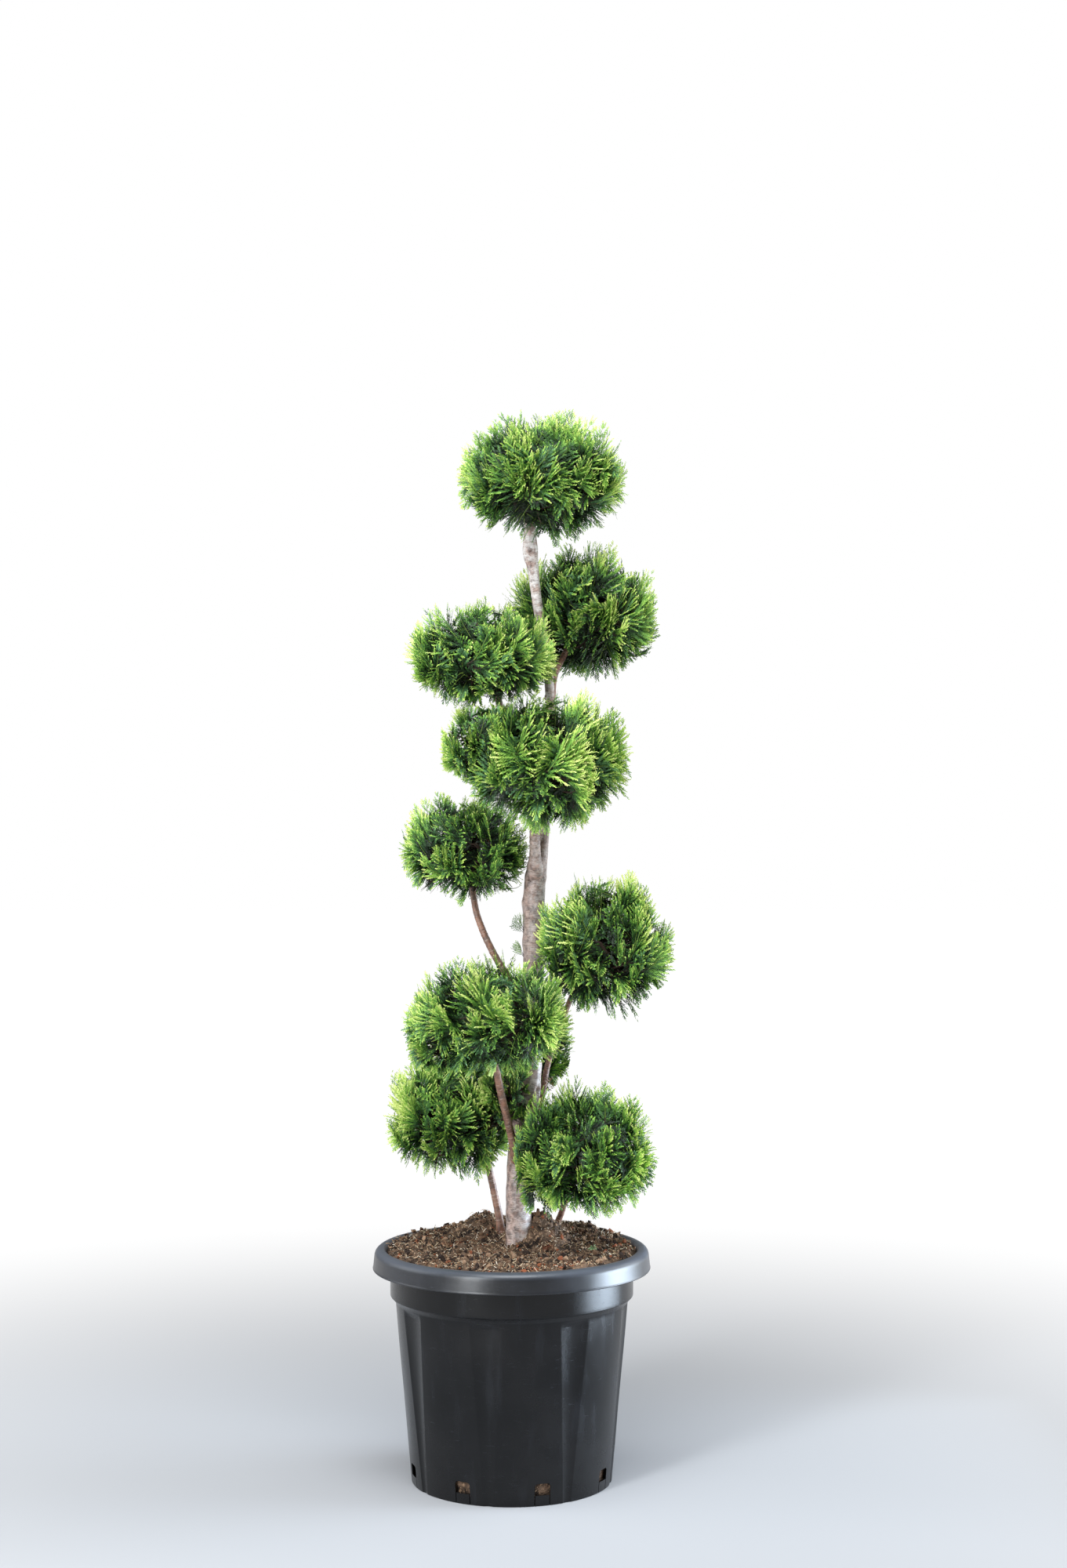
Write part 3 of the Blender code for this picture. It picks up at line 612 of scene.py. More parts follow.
# Trunk: one stem, bare from the compost to the top tuft, where a stouter leader was cut and a
# thinner one took over. The bark is young: smooth, pinkish brown, shining, crossed by fine
# lines, with silvery patches, healed knots and one open wound.
TRUNK_FOOT = 0.3175
TRUNK = (
    (0.0100, 0.000, TRUNK_FOOT, 0.0212),
    (0.0100, 0.000, 0.345, 0.0185),
    (0.0085, 0.000, 0.420, 0.0160),
    (0.0145, 0.000, 0.483, 0.0155),
    (0.0235, 0.003, 0.531, 0.0152),
    (0.0285, 0.006, 0.601, 0.0146),
    (0.0296, 0.008, 0.710, 0.0138),
    (0.0307, 0.006, 0.797, 0.0148),
    (0.0340, 0.005, 0.838, 0.0140),
    (0.0430, 0.010, 0.873, 0.0078),
    (0.0482, 0.014, 0.938, 0.0066),
    (0.0535, 0.015, 1.040, 0.0064),
    (0.0520, 0.013, 1.100, 0.0066),
    (0.0460, 0.009, 1.145, 0.0066),
    (0.0360, 0.005, 1.205, 0.0068),
    (0.0295, 0.002, 1.258, 0.0080),
    (0.0255, 0.000, 1.284, 0.0098),
    (0.0265, 0.000, 1.345, 0.0060),
    (0.0385, 0.000, 1.410, 0.0026),
)
LIMB_STEP = 0.0020
TRUNK_SIDES = 48
ROOT_FLARE = 0.16
ROOT_FLARE_HEIGHT = 0.020
ROOT_LOBES = 3
ROOT_LOBE_TURN = 0.7
LIMB_UNEVEN = 0.05
LIMB_UNEVEN_ROUND = 1.3
LIMB_UNEVEN_ALONG = 40.0

# Marks on the trunk: height, degrees from the front, half height, half width, and rise.
TRUNK_MARKS = (
    (0.8320, 20, 0.0045, 0.030, 0.0012),
    (0.8450, 10, 0.0060, 0.016, 0.0010),
    (0.7950, -75, 0.0080, 0.010, 0.0022),
    (0.7400, -80, 0.0090, 0.009, 0.0018),
    (0.7910, 32, 0.0060, 0.007, 0.0020),
    (0.7910, 32, 0.0022, 0.003, -0.0024),
    (0.5380, 52, 0.0120, 0.008, 0.0020),
    (0.5380, 52, 0.0052, 0.0036, -0.0075),
    (0.4100, -10, 0.0070, 0.007, 0.0016),
    (0.4100, -10, 0.0026, 0.003, -0.0022),
    (0.3760, 0, 0.0070, 0.008, 0.0022),
    (0.3760, 0, 0.0024, 0.003, -0.0026),
    (0.3427, -55, 0.0070, 0.008, 0.0024),
    (0.3427, -55, 0.0024, 0.003, -0.0022),
    (0.4800, -30, 0.0060, 0.014, 0.0014),
    (0.6500, 40, 0.0050, 0.010, 0.0009),
    (0.7000, -15, 0.0040, 0.012, 0.0006),
    (1.2840, 0, 0.0080, 0.040, 0.0008),
    (1.1500, 150, 0.0060, 0.008, 0.0012),
)
FOLD_SIZE = 0.0016
FOLDS_ROUND = 7
TRUNK_FOLD = 0.00022
MUSCLE = 0.035
MUSCLE_ROUND = 2.4
MUSCLE_ALONG = 16


def smooth_path(points, step):
    """Points on a smooth curve through a limb's own points, each an x, y, z and radius."""
    points = np.array(points)
    guide = np.vstack([2 * points[0] - points[1], points, 2 * points[-1] - points[-2]])
    path = []
    for a, b, c, d in zip(guide, guide[1:], guide[2:], guide[3:]):
        spans = max(1, round(float(np.linalg.norm(c[:3] - b[:3])) / step))
        for t in np.arange(spans) / spans:
            path.append(0.5 * (2 * b + (c - a) * t + (2 * a - 5 * b + 4 * c - d) * t ** 2
                               + (3 * b - a - 3 * c + d) * t ** 3))
    path.append(points[-1])
    return np.array(path)


def noise_at(spots):
    """Smooth noise at many places, from about -1 to 1."""
    return np.array([noise.noise(Vector(spot)) for spot in spots])


def limb_surface(path, sides, marks, fold, swelling=None):
    """Rings of points round a limb with its knots and folds, and each point's place on the bark."""
    centres, radii = path[:, :3], path[:, 3]
    aheads = np.gradient(centres, axis=0)
    aheads /= np.linalg.norm(aheads, axis=1, keepdims=True)
    along = np.concatenate([[0.0], np.cumsum(np.linalg.norm(np.diff(centres, axis=0), axis=1))])
    turns = 2 * math.pi * np.arange(sides) / sides
    side = Vector((1.0, 0.0, 0.0))
    points, places = [], []
    for i, centre in enumerate(centres):
        ahead = Vector(aheads[i])
        side = (side - side.dot(ahead) * ahead).normalized()
        across = ahead.cross(side)
        flare = ROOT_FLARE * math.exp(-(centre[2] - TRUNK_FOOT) / ROOT_FLARE_HEIGHT)
        outward = np.outer(np.cos(turns), side) + np.outer(np.sin(turns), across)
        spots = outward * LIMB_UNEVEN_ROUND + centre * LIMB_UNEVEN_ALONG
        strands = outward * MUSCLE_ROUND + np.array((0.0, 0.0, along[i] * MUSCLE_ALONG))
        lobes = flare * np.cos(ROOT_LOBES * turns + ROOT_LOBE_TURN)
        reach = radii[i] * (1 + LIMB_UNEVEN * noise_at(spots) + MUSCLE * noise_at(strands) + lobes)
        if swelling is not None:
            reach = reach * (1 + swelling[i])
        rings = outward * (radii[i] / FOLD_SIZE / FOLDS_ROUND) + np.array((0.0, 0.0, along[i] / FOLD_SIZE))
        reach += fold * noise_at(rings)
        from_front = np.degrees(np.arctan2(outward[:, 0], -outward[:, 1]))
        for mark_height, degrees, half_height, half_width, rise in marks:
            off = (from_front - degrees + 180) % 360 - 180
            sideways = np.radians(off) * radii[i] / half_width
            reach += rise * np.exp(-((centre[2] - mark_height) / half_height) ** 2 - sideways ** 2)
        points.append(centre + reach[:, None] * outward)
        places.append(np.stack([radii[i] * np.cos(turns), radii[i] * np.sin(turns),
                                np.full(sides, along[i])], axis=1))
    return np.array(points), np.array(places)


def add_limb(name, surface, material):
    """A limb's mesh with its bark, closed at both ends, on the plant's body."""
    points, places = surface
    rows, sides = points.shape[:2]
    limb = add_piece(name, points, grid_faces(rows, sides), [material])
    where = limb.data.attributes.new("bark_place", "FLOAT_VECTOR", "POINT")
    where.data.foreach_set("vector", places.astype(np.float32).ravel())
    close_ends(limb, sides)
    return limb


def bark(name, plain, dark, silver, silvered, lines):
    """Young shining bark: clouded, ringed with fine lines, silvery high up, and silvered on its right side
    as a painted highlight.
    """
    values = {"Specular IOR Level": 0.5, "Coat Weight": 0.20, "Coat Roughness": 0.38}
    material, shader, place = finish(name, values)
    place = place.node("ShaderNodeAttribute", {"attribute_name": "bark_place"}, None, 1)
    sideways, along = place.part(0), place.part(2)
    clouded = place.stretched(1.0, 1.0, 0.7).clouds(150.0, 4.0)
    patches = place.stretched(1.0, 1.0, 1.3).clouds(75.0, 5.0, 0.7)
    fine = place.stretched(1.0, 1.0, 9.0).clouds(170.0, 4.0, 0.6)
    dashes = place.stretched(1.0, 1.0, 7.0).clouds(95.0, 2.0).between(0.60, 0.66)
    specks = place.clouds(420.0, 2.0).between(0.64, 0.70)
    # Silver patches show more on the right side, as a painted highlight from the right light, and more
    # higher up.
    lit_side_and_high_silver = sideways.between(-0.012, 0.013) * 0.45 + along.between(0.70, 0.86) * 0.50 + 0.16
    colour = clouded.between(0.32, 0.68).tint(dark, plain)
    colour = (patches.between(0.36, 0.64) * lit_side_and_high_silver * silvered).tint(colour, silver)
    colour = (fine.between(0.52, 0.66) * lines).tint(colour, dark)
    colour = (dashes * 0.45).tint(colour, shade(206, 186, 172))
    (specks * 0.6).tint(colour, shade(52, 38, 34)).feeds(shader, "Base Color")
    (clouded * 0.14 + fine * 0.12 + 0.32).feeds(shader, "Roughness")
    (fine + dashes * 0.5 + clouded * 0.4).relief(0.0004, 0.6).feeds(shader, "Normal")
    return material


trunk_path = smooth_path(TRUNK, LIMB_STEP)
trunk_bark = bark("trunk_bark", shade(180, 152, 140), shade(84, 62, 54), shade(212, 207, 204), 1.3, 0.8)
surface = limb_surface(trunk_path, TRUNK_SIDES, TRUNK_MARKS, TRUNK_FOLD)
surface[0][0, :, 2] = TRUNK_FOOT
trunk = add_limb("trunk_with_bark", surface, trunk_bark)
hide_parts("trunk")


# Boughs and side stems: thinner, redder shoots, one to each tuft, each swollen where it leaves
# the trunk and ringed with old leaf scars. Each runs on into its tuft as the tuft's leader.
# The stout one that carries the middle front tuft has the trunk's own bark.
STOUT_BOUGH = "bough_middle_front"
BOUGHS = {
    "bough_upper_right": ("foliage_upper_right", (
        (0.0525, 0.014, 1.078, 0.0050), (0.0600, 0.036, 1.114, 0.0046),
        (0.0715, 0.052, 1.138, 0.0042), (0.0850, 0.070, 1.165, 0.0038))),
    "bough_upper_left": ("foliage_upper_left", (
        (0.0514, 0.014, 0.976, 0.0060), (0.0275, 0.000, 1.009, 0.0056),
        (0.0004, -0.012, 1.036, 0.0053), (-0.0146, -0.018, 1.062, 0.0050),
        (-0.0220, -0.024, 1.090, 0.0046))),
    "bough_middle_front": ("foliage_middle_front", (
        (0.0318, 0.004, 0.822, 0.0076), (0.0322, -0.014, 0.866, 0.0074),
        (0.0318, -0.028, 0.896, 0.0070), (0.0350, -0.048, 0.935, 0.0062))),
    "bough_middle_left": ("foliage_middle_left", (
        (0.0285, 0.006, 0.638, 0.0056), (0.0057, 0.004, 0.675, 0.0052),
        (-0.0247, 0.004, 0.724, 0.0048), (-0.0464, 0.006, 0.773, 0.0045),
        (-0.0560, 0.008, 0.820, 0.0040))),
    "bough_middle_right": ("foliage_middle_right", (
        (0.0150, 0.002, 0.469, 0.0045), (0.0400, 0.020, 0.521, 0.0041),
        (0.0493, 0.022, 0.567, 0.0038), (0.0623, 0.010, 0.612, 0.0037),
        (0.0837, -0.012, 0.670, 0.0036), (0.0950, -0.022, 0.695, 0.0033))),
    "bough_lower_front": ("foliage_lower_front", (
        (0.0090, 0.000, 0.428, 0.0058), (0.0027, -0.022, 0.462, 0.0054),
        (-0.0057, -0.045, 0.502, 0.0052), (-0.0141, -0.060, 0.539, 0.0050),
        (-0.0230, -0.080, 0.590, 0.0046))),
    "bough_back": ("foliage_back", (
        (0.0230, 0.003, 0.510, 0.0056), (0.0225, 0.035, 0.532, 0.0050),
        (0.0180, 0.075, 0.550, 0.0044), (0.0160, 0.100, 0.562, 0.0040))),
    "stem_low_left": ("foliage_low_left", (
        (-0.0150, 0.045, 0.3260, 0.0062), (-0.0178, 0.045, 0.350, 0.0055),
        (-0.0231, 0.045, 0.377, 0.0050), (-0.0340, 0.044, 0.425, 0.0047),
        (-0.0470, 0.042, 0.452, 0.0042))),
    "stem_low_right": ("foliage_low_right", (
        (0.0632, 0.050, 0.3310, 0.0052), (0.0642, 0.050, 0.345, 0.0044),
        (0.0693, 0.043, 0.360, 0.0041), (0.0760, 0.026, 0.384, 0.0039),
        (0.0860, -0.006, 0.418, 0.0036))),
}
BOUGH_SIDES = 28
BOUGH_FOLD = 0.00016
COLLAR = 0.50
COLLAR_REACH = 0.006
LEADER_THINNING = 0.50
SCAR_SPACING = 0.0085
SCAR_LENGTH = 0.0011
SCAR_RISE = 0.07

# Clipped tufts: lobes as centre and half sizes, a noise offset, how bright the growth is, and
# how square it was clipped, from 2 for a round tuft upwards.
TUFTS = {
    "foliage_top": ((((0.0395, 0.000, 1.3845), (0.1150, 0.110, 0.0885)),), 1.0, 0.30, 2.3),
    "foliage_upper_right": ((((0.1010, 0.090, 1.2030), (0.1045, 0.100, 0.0980)),), 2.0, 0.50, 2.2),
    "foliage_upper_left": ((((-0.0400, -0.040, 1.1370), (0.1005, 0.100, 0.0750)),), 3.0, 0.55, 2.4),
    "foliage_middle_front": (
        (((0.0500, -0.086, 0.9930), (0.1065, 0.098, 0.0990)),
         ((-0.0360, -0.080, 1.0160), (0.0600, 0.070, 0.0600))), 4.0, 0.70, 2.3),
    "foliage_middle_left": ((((-0.0660, 0.008, 0.8710), (0.0885, 0.085, 0.0740)),), 5.0, 0.35, 2.3),
    "foliage_middle_right": ((((0.1250, -0.047, 0.7410), (0.0915, 0.090, 0.0990)),), 6.0, 0.45, 2.2),
    "foliage_lower_front": (
        (((-0.0310, -0.105, 0.6490), (0.1045, 0.100, 0.0810)),
         ((-0.0930, -0.095, 0.6180), (0.0430, 0.060, 0.0480))), 16.0, 0.70, 3.0),
    "foliage_back": ((((0.0140, 0.130, 0.5860), (0.0740, 0.074, 0.0780)),), 8.0, -0.30, 2.2),
    "foliage_low_left": (
        (((-0.0830, 0.035, 0.5020), (0.0905, 0.090, 0.0930)),
         ((-0.0050, -0.022, 0.5360), (0.0360, 0.036, 0.0520))), 9.0, 1.15, 2.2),
    "foliage_low_right": (
        (((0.1010, -0.047, 0.4620), (0.0935, 0.090, 0.0910)),
         ((0.0460, -0.045, 0.4500), (0.0440, 0.045, 0.0850))), 10.0, 0.50, 2.2),
}

bough_bark = bark("bough_bark", shade(156, 110, 88), shade(84, 56, 45), shade(180, 164, 152), 0.5, 0.6)
leaders = {"foliage_top": trunk_path}
for bough_name, (tuft_name, course) in BOUGHS.items():
    end_radius = course[-1][3] * LEADER_THINNING
    path = smooth_path(course + ((*TUFTS[tuft_name][0][0][0], end_radius),), LIMB_STEP)
    gaps = np.linalg.norm(path[:, None, :3] - trunk_path[None, :, :3], axis=2) - trunk_path[:, 3]
    collar = COLLAR * np.exp(-np.maximum(gaps.min(axis=1), 0.0) / COLLAR_REACH)
    from_scar = (np.arange(len(path)) * LIMB_STEP) % SCAR_SPACING - SCAR_SPACING / 2
    scars = SCAR_RISE * np.exp(-(from_scar / SCAR_LENGTH) ** 2)
    surface = limb_surface(path, BOUGH_SIDES, (), BOUGH_FOLD, collar + scars)
    if bough_name.startswith("stem"):
        surface[0][0, :, 2] = course[0][2]
    rind = trunk_bark if bough_name == STOUT_BOUGH else bough_bark
    bough = add_limb(bough_name + "_bark", surface, rind)
    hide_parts(bough_name)
    leaders[tuft_name] = path


# Foliage: flat fern-like sprays of scale leaves, three times branched, clipped to round tufts.
# On a tuft's upper half the sprays stand on edge; on its lower half they face out and hang.
# Growing tips are yellow green, and the growth inside is painted darker as shade, deep green to bare and
# brown.
SPRAY_WANDER = 0.16
CORE_SHARE = 0.83
REACH_LUMP = 0.08
LUMP_SIZE = 0.42
LUMP_SUNK = 0.2
CLUMP_RISE = 0.12
CLUMP_SIZE = 0.24
CLUMP_SUNK = 0.08
LUMP_SHIFT = Vector((7.3, 3.1, 1.0))
LUMP_ROWS = 73
LUMP_COLUMNS = 144
NEIGHBOUR_GAP = 0.030
LIMB_GAP = 0.0012
LIMBS_NEAR = 0.16


def unit(vectors):
    """The same directions, each of length 1."""
    return vectors / (np.linalg.norm(vectors, axis=-1, keepdims=True) + 1e-12)


def square_to(vectors, axes):
    """The directions nearest to some vectors that are square to some axes."""
    return unit(vectors - (vectors * axes).sum(-1, keepdims=True) * axes)


def even_directions(count):
    """Directions spread evenly over a sphere, each moved a little by chance."""
    turn = math.pi * (3 - math.sqrt(5)) * np.arange(count)
    z = 1 - 2 * (np.arange(count) + 0.5) / count
    flat = np.sqrt(1 - z * z)
    even = np.stack([flat * np.cos(turn), flat * np.sin(turn), z], axis=1)
    return unit(even + SPRAY_WANDER * rng.uniform(-1, 1, (count, 3)))


def lump_map(offset, square):
    """How far a tuft's surface stands out, for a grid of directions by height and turn."""
    lumps = np.empty((LUMP_ROWS, LUMP_COLUMNS))
    for i, z in enumerate(np.linspace(-1, 1, LUMP_ROWS)):
        for j, turn in enumerate(np.linspace(-math.pi, math.pi, LUMP_COLUMNS)):
            flat = math.sqrt(1 - z * z)
            direction = Vector((flat * math.cos(turn), flat * math.sin(turn), z))
            value = noise.noise(direction / LUMP_SIZE + offset * LUMP_SHIFT)
            clump = noise.noise(direction / CLUMP_SIZE - offset * LUMP_SHIFT)
            corner_reach = sum(abs(part) ** square for part in direction) ** (-1 / square)
            lumpy = 1 - REACH_LUMP * (LUMP_SUNK + 0.5 * value) + CLUMP_RISE * (clump - CLUMP_SUNK)
            lumps[i, j] = corner_reach * lumpy
    return lumps


lump_maps = {name: lump_map(offset, square) for name, (_, offset, _, square) in TUFTS.items()}


def lump(tuft, directions):
    """A tuft's lumps in many directions, looked up in its map."""
    row = np.rint((directions[..., 2] + 1) / 2 * (LUMP_ROWS - 1)).astype(int)
    turn = np.arctan2(directions[..., 1], directions[..., 0])
    column = np.rint((turn + math.pi) / (2 * math.pi) * (LUMP_COLUMNS - 1)).astype(int)
    return lump_maps[tuft][row.clip(0, LUMP_ROWS - 1), column]


def depth_in(tuft, points):
    """0 at the middle of a tuft and 1 on its clipped surface, by the nearest of its lobes."""
    depths = []
    for centre, radii in TUFTS[tuft][0]:
        away = (points - np.array(centre)) / np.array(radii)
        distance = np.linalg.norm(away, axis=-1)
        depths.append(distance / lump(tuft, away / (distance[..., None] + 1e-9)))
    return np.min(depths, axis=0)


def limbs_near(limb_paths, centre, reach):
    """The points of every limb near a tuft, each with the limb's radius."""
    samples = np.vstack(limb_paths)
    return samples[np.linalg.norm(samples[:, :3] - centre, axis=1) < reach]


def allowed(tuft, points, limbs):
    """Whether points are nearer to their own tuft than to any other, and clear of all limbs."""
    own = depth_in(tuft, points)
    keep = np.ones(len(points), bool)
    for other in TUFTS:
        if other != tuft:
            keep &= own + NEIGHBOUR_GAP < depth_in(other, points)
    for sample in limbs:
        keep &= np.linalg.norm(points - sample[:3], axis=1) > sample[3] + LIMB_GAP
    return keep


def turned(vectors, axes, angles):
    """Vectors turned about axes that are square to them."""
    return vectors * np.cos(angles)[..., None] + np.cross(axes, vectors) * np.sin(angles)[..., None]


# Sprays stand in groups like the pages of a book. How many there are, where they start and end
# as shares of the tuft's size, how they turn, and how those differ that hang on its lower half.
SPRAYS_ON_TOP = 205
SPRAYS_IN_GROUP = 3
PAGE_SPREAD = 0.15
PAGE_SPREADS = (0.7, 1.3)
PAGE_WANDER = 0.15
GROUP_SPREAD = 0.10
GROUP_ROLL = 0.30
OPEN_ROLL = 0.9
OPEN_SHARE = 0.30
GROUP_LIFT = 0.60
GROUP_SWAY = 0.38
GROUP_REACH = 0.050
HELD_DEPTH = 0.72
HANGING_UNDER = -0.22
HANGING_MIX = 0.18
HANGING_RAISED = 0.22
HANGING_SIDE_ON = 0.6
HELD_SHARES = (0.30, 0.40)
HELD_LIFT = 0.55
ROOT_SHARES = (0.16, 0.30)
JOINT_DEPTH = 0.8
SOURCE_WANDER = 0.10
LEVEL_WANDER = 0.05
FACING_WANDER = 0.09
SPRAY_REACH = 1.05
SPRAY_TIP_SPREAD = 0.08
SPRAY_CURVE = 0.24
FLOW_SOURCE = -0.38
REACH_LIMIT = 0.05
CLIP_DEPTH = 0.970


def place_sprays(tuft, lobe, count):
    """A lobe's sprays, flowing out from where its bough comes in low down, in flat fronds."""
    centre, radii = np.array(lobe[0]), np.array(lobe[1])
    up = np.array((0.0, 0.0, 1.0))
    groups = even_directions(max(4, round(count / SPRAYS_IN_GROUP)))
    hanging = groups[:, 2] + rng.normal(0.0, HANGING_MIX, len(groups)) < HANGING_UNDER
    source = FLOW_SOURCE * up + SOURCE_WANDER * rng.normal(size=groups.shape)
    away = unit(groups - source)
    level = square_to(np.cross(away, up) + LEVEL_WANDER * rng.normal(size=groups.shape), away)
    roll = np.where(hanging, math.pi / 2, 0.0) + rng.normal(0.0, GROUP_ROLL, len(groups))
    opened = ~hanging & (rng.random(len(groups)) < OPEN_SHARE)
    roll[opened] += OPEN_ROLL * rng.choice((-1, 1), opened.sum())
    facing = turned(level, away, roll)
    lift = np.where(hanging, 0.0, GROUP_LIFT * rng.random(len(groups)))
    lowered = rng.normal(0.0, GROUP_SWAY, (len(groups), 1)) * level - lift[:, None] * up
    wander = rng.normal(0.0, PAGE_WANDER, (len(groups), SPRAYS_IN_GROUP))
    page = np.linspace(-1, 1, SPRAYS_IN_GROUP) + wander
    page = (PAGE_SPREAD * page * rng.uniform(*PAGE_SPREADS, (len(groups), 1))).ravel()
    fan = rng.normal(0.0, GROUP_SPREAD, page.shape)
    reach = rng.normal(0.0, GROUP_REACH, len(groups)).clip(-2 * REACH_LIMIT, REACH_LIMIT)
    groups, hanging, facing, source, reach, lift, lowered = (
        a.repeat(SPRAYS_IN_GROUP, axis=0) for a in (groups, hanging, facing, source, reach, lift, lowered))
    tip_way = unit(turned(groups, facing, fan) + page[:, None] * facing)
    depth = (SPRAY_REACH + reach - SPRAY_TIP_SPREAD * rng.random(len(fan))) * lump(tuft, tip_way)
    tips = tip_way * depth[:, None]
    held_share = rng.uniform(*HELD_SHARES, len(fan)) + HELD_LIFT * lift
    held = source + (groups - source) * held_share[:, None] + lowered
    held *= np.minimum(1.0, HELD_DEPTH / np.linalg.norm(held, axis=1, keepdims=True))
    held[hanging] += HANGING_RAISED * up
    roots = held + (tips - held) * rng.uniform(*ROOT_SHARES, len(fan))[:, None]
    joints = held.reshape(-1, SPRAYS_IN_GROUP, 3).mean(axis=1).repeat(SPRAYS_IN_GROUP, axis=0)
    roots, tips = centre + roots * radii, centre + tips * radii
    along = unit(tips - roots)
    facing = square_to(facing + FACING_WANDER * rng.normal(size=facing.shape), along)
    outward_facing = square_to(tip_way, along)
    facing = np.where(hanging[:, None], unit(facing * HANGING_SIDE_ON + outward_facing), facing)
    size = np.linalg.norm(tips - roots, axis=1, keepdims=True)
    bulge = SPRAY_CURVE * size * np.where(hanging[:, None], up, -up)
    return {"roots": roots, "tips": tips, "facing": facing, "bulge": bulge, "hanging": hanging,
            "joints": centre + joints * JOINT_DEPTH * radii, "clip": CLIP_DEPTH + reach}


# Inner sprays: how many, how deep each starts and how far out it runs, its lean, and its leaves.
SHINGLES_ON_TOP = 150
SHINGLE_ROOTS = (0.42, 0.66)
SHINGLE_RUNS = (0.10, 0.22)
SHINGLE_LEAN = 0.42
SHINGLE_BULGE = 0.004
SHINGLE_JOINT_DEPTH = 0.15
SHINGLE_COMBS = 14
SHINGLE_STEP = 0.0042
SHINGLE_WIDTH = 0.0026
SHINGLE_BRIGHTER = 0.1


def place_shingles(tuft, lobe, count):
    """Inner sprays that lie over one another like tiles, facing out, so that no sky shows through."""
    centre, radii = np.array(lobe[0]), np.array(lobe[1])
    outward = even_directions(round(count))
    sideways = unit(np.cross(outward, rng.normal(size=outward.shape)))
    root_depth = rng.uniform(*SHINGLE_ROOTS, len(outward))
    tip_depth = root_depth + rng.uniform(*SHINGLE_RUNS, len(outward))
    roots = centre + unit(outward - SHINGLE_LEAN * sideways) * root_depth[:, None] * radii
    tips = centre + unit(outward + SHINGLE_LEAN * sideways) * tip_depth[:, None] * radii
    return {"roots": roots, "tips": tips, "facing": square_to(outward, unit(tips - roots)),
            "bulge": SHINGLE_BULGE * outward, "hanging": np.zeros(len(outward), bool),
            "joints": centre + outward * SHINGLE_JOINT_DEPTH * radii,
            "clip": np.full(len(outward), CLIP_DEPTH)}


def rachis(sprays, shares):
    """Points on each spray's midrib, and its heading there, at shares of its length."""
    along = (sprays["tips"] - sprays["roots"])[:, None, :]
    bulge = sprays["bulge"][:, None, :]
    shares = shares[..., None]
    points = sprays["roots"][:, None, :] + along * shares + 4 * shares * (1 - shares) * bulge
    return points, unit(along + 4 * (1 - 2 * shares) * bulge)


# Twigs: from the bough to each group of sprays, on to each spray, and the bare ones below.
LINK_SHARES = (0.0, 0.45, 0.9)
MIDRIB_SHARES = (0.0, 0.2, 0.4, 0.6, 0.8, 0.92)
BRANCHLET_DROP = 0.025
BRANCHLET_SAG = 0.12
BRANCHLET_THICKER = 1.7
BRANCHLET_LEAST = 0.0009
BARE_TWIGS = 3
BARE_TWIG_START = 0.45
BARE_TWIG_RUN = 0.55
BARE_TWIG_OUTSIDE = 0.05
BARE_TWIG_FALL = (-1.6, -0.9)
BARE_TWIG_BEND = 0.012
BARE_TWIG_FORKS = (5, 6)
BARE_SIDE_TWIGS = (0.008, 0.015)
BARE_TWIG_THINNER = 0.55
TWIG_RADII = np.array((0.0016, 0.0014, 0.0012, 0.0010, 0.0009, 0.0008, 0.0006, 0.0005, 0.0003))
TWIG_SHARES = np.linspace(0.0, 1.0, len(TWIG_RADII))[None, :, None]


def twig_courses(sprays):
    """The twig of each spray: from the branchlet it shares, to its root and along its midrib."""
    joints = sprays["joints"][:, None, :]
    link = joints + (sprays["roots"][:, None, :] - joints) * np.array(LINK_SHARES)[:, None]
    midribs, _ = rachis(sprays, np.array(MIDRIB_SHARES)[None, :])
    return np.concatenate([link, midribs], axis=1)


def branchlets(leader, joints):
    """The brown shoots that join groups of sprays to the bough, each from its nearest lower point."""
    lower = joints - np.array((0.0, 0.0, BRANCHLET_DROP))
    gaps = np.linalg.norm(leader[None, :, :3] - lower[:, None, :], axis=2)
    starts = leader[gaps.argmin(axis=1), :3]
    courses = starts[:, None, :] + (joints - starts)[:, None, :] * TWIG_SHARES
    length = np.linalg.norm(joints - starts, axis=1)[:, None]
    courses[:, :, 2] -= BRANCHLET_SAG * length * 4 * (TWIG_SHARES * (1 - TWIG_SHARES))[:, :, 0]
    return courses


def bare_twigs(lobe, count):
    """A few dead twigs that hang out of a tuft's shaded underside, each with two side twigs."""
    centre, radii = np.array(lobe[0]), np.array(lobe[1])
    turn = 2 * math.pi * rng.random(count)
    down = unit(np.stack([np.cos(turn), np.sin(turn), rng.uniform(*BARE_TWIG_FALL, count)], axis=1))
    run = BARE_TWIG_RUN + BARE_TWIG_OUTSIDE * rng.random((count, 1, 1))
    main = centre + down[:, None, :] * radii * (BARE_TWIG_START + run * TWIG_SHARES)
    sideways = unit(rng.normal(size=(count, 1, 3)) * np.array((1.0, 1.0, 0.2)))
    main += BARE_TWIG_BEND * TWIG_SHARES ** 2 * sideways
    courses = [main]
    for node in BARE_TWIG_FORKS:
        ahead = unit(main[:, -1] - main[:, node] + BARE_TWIG_BEND * rng.normal(size=(count, 3)))
        reach = rng.uniform(*BARE_SIDE_TWIGS, (count, 1, 1))
        courses.append(main[:, node, None, :] + ahead[:, None, :] * reach * TWIG_SHARES)
    return np.concatenate(courses)


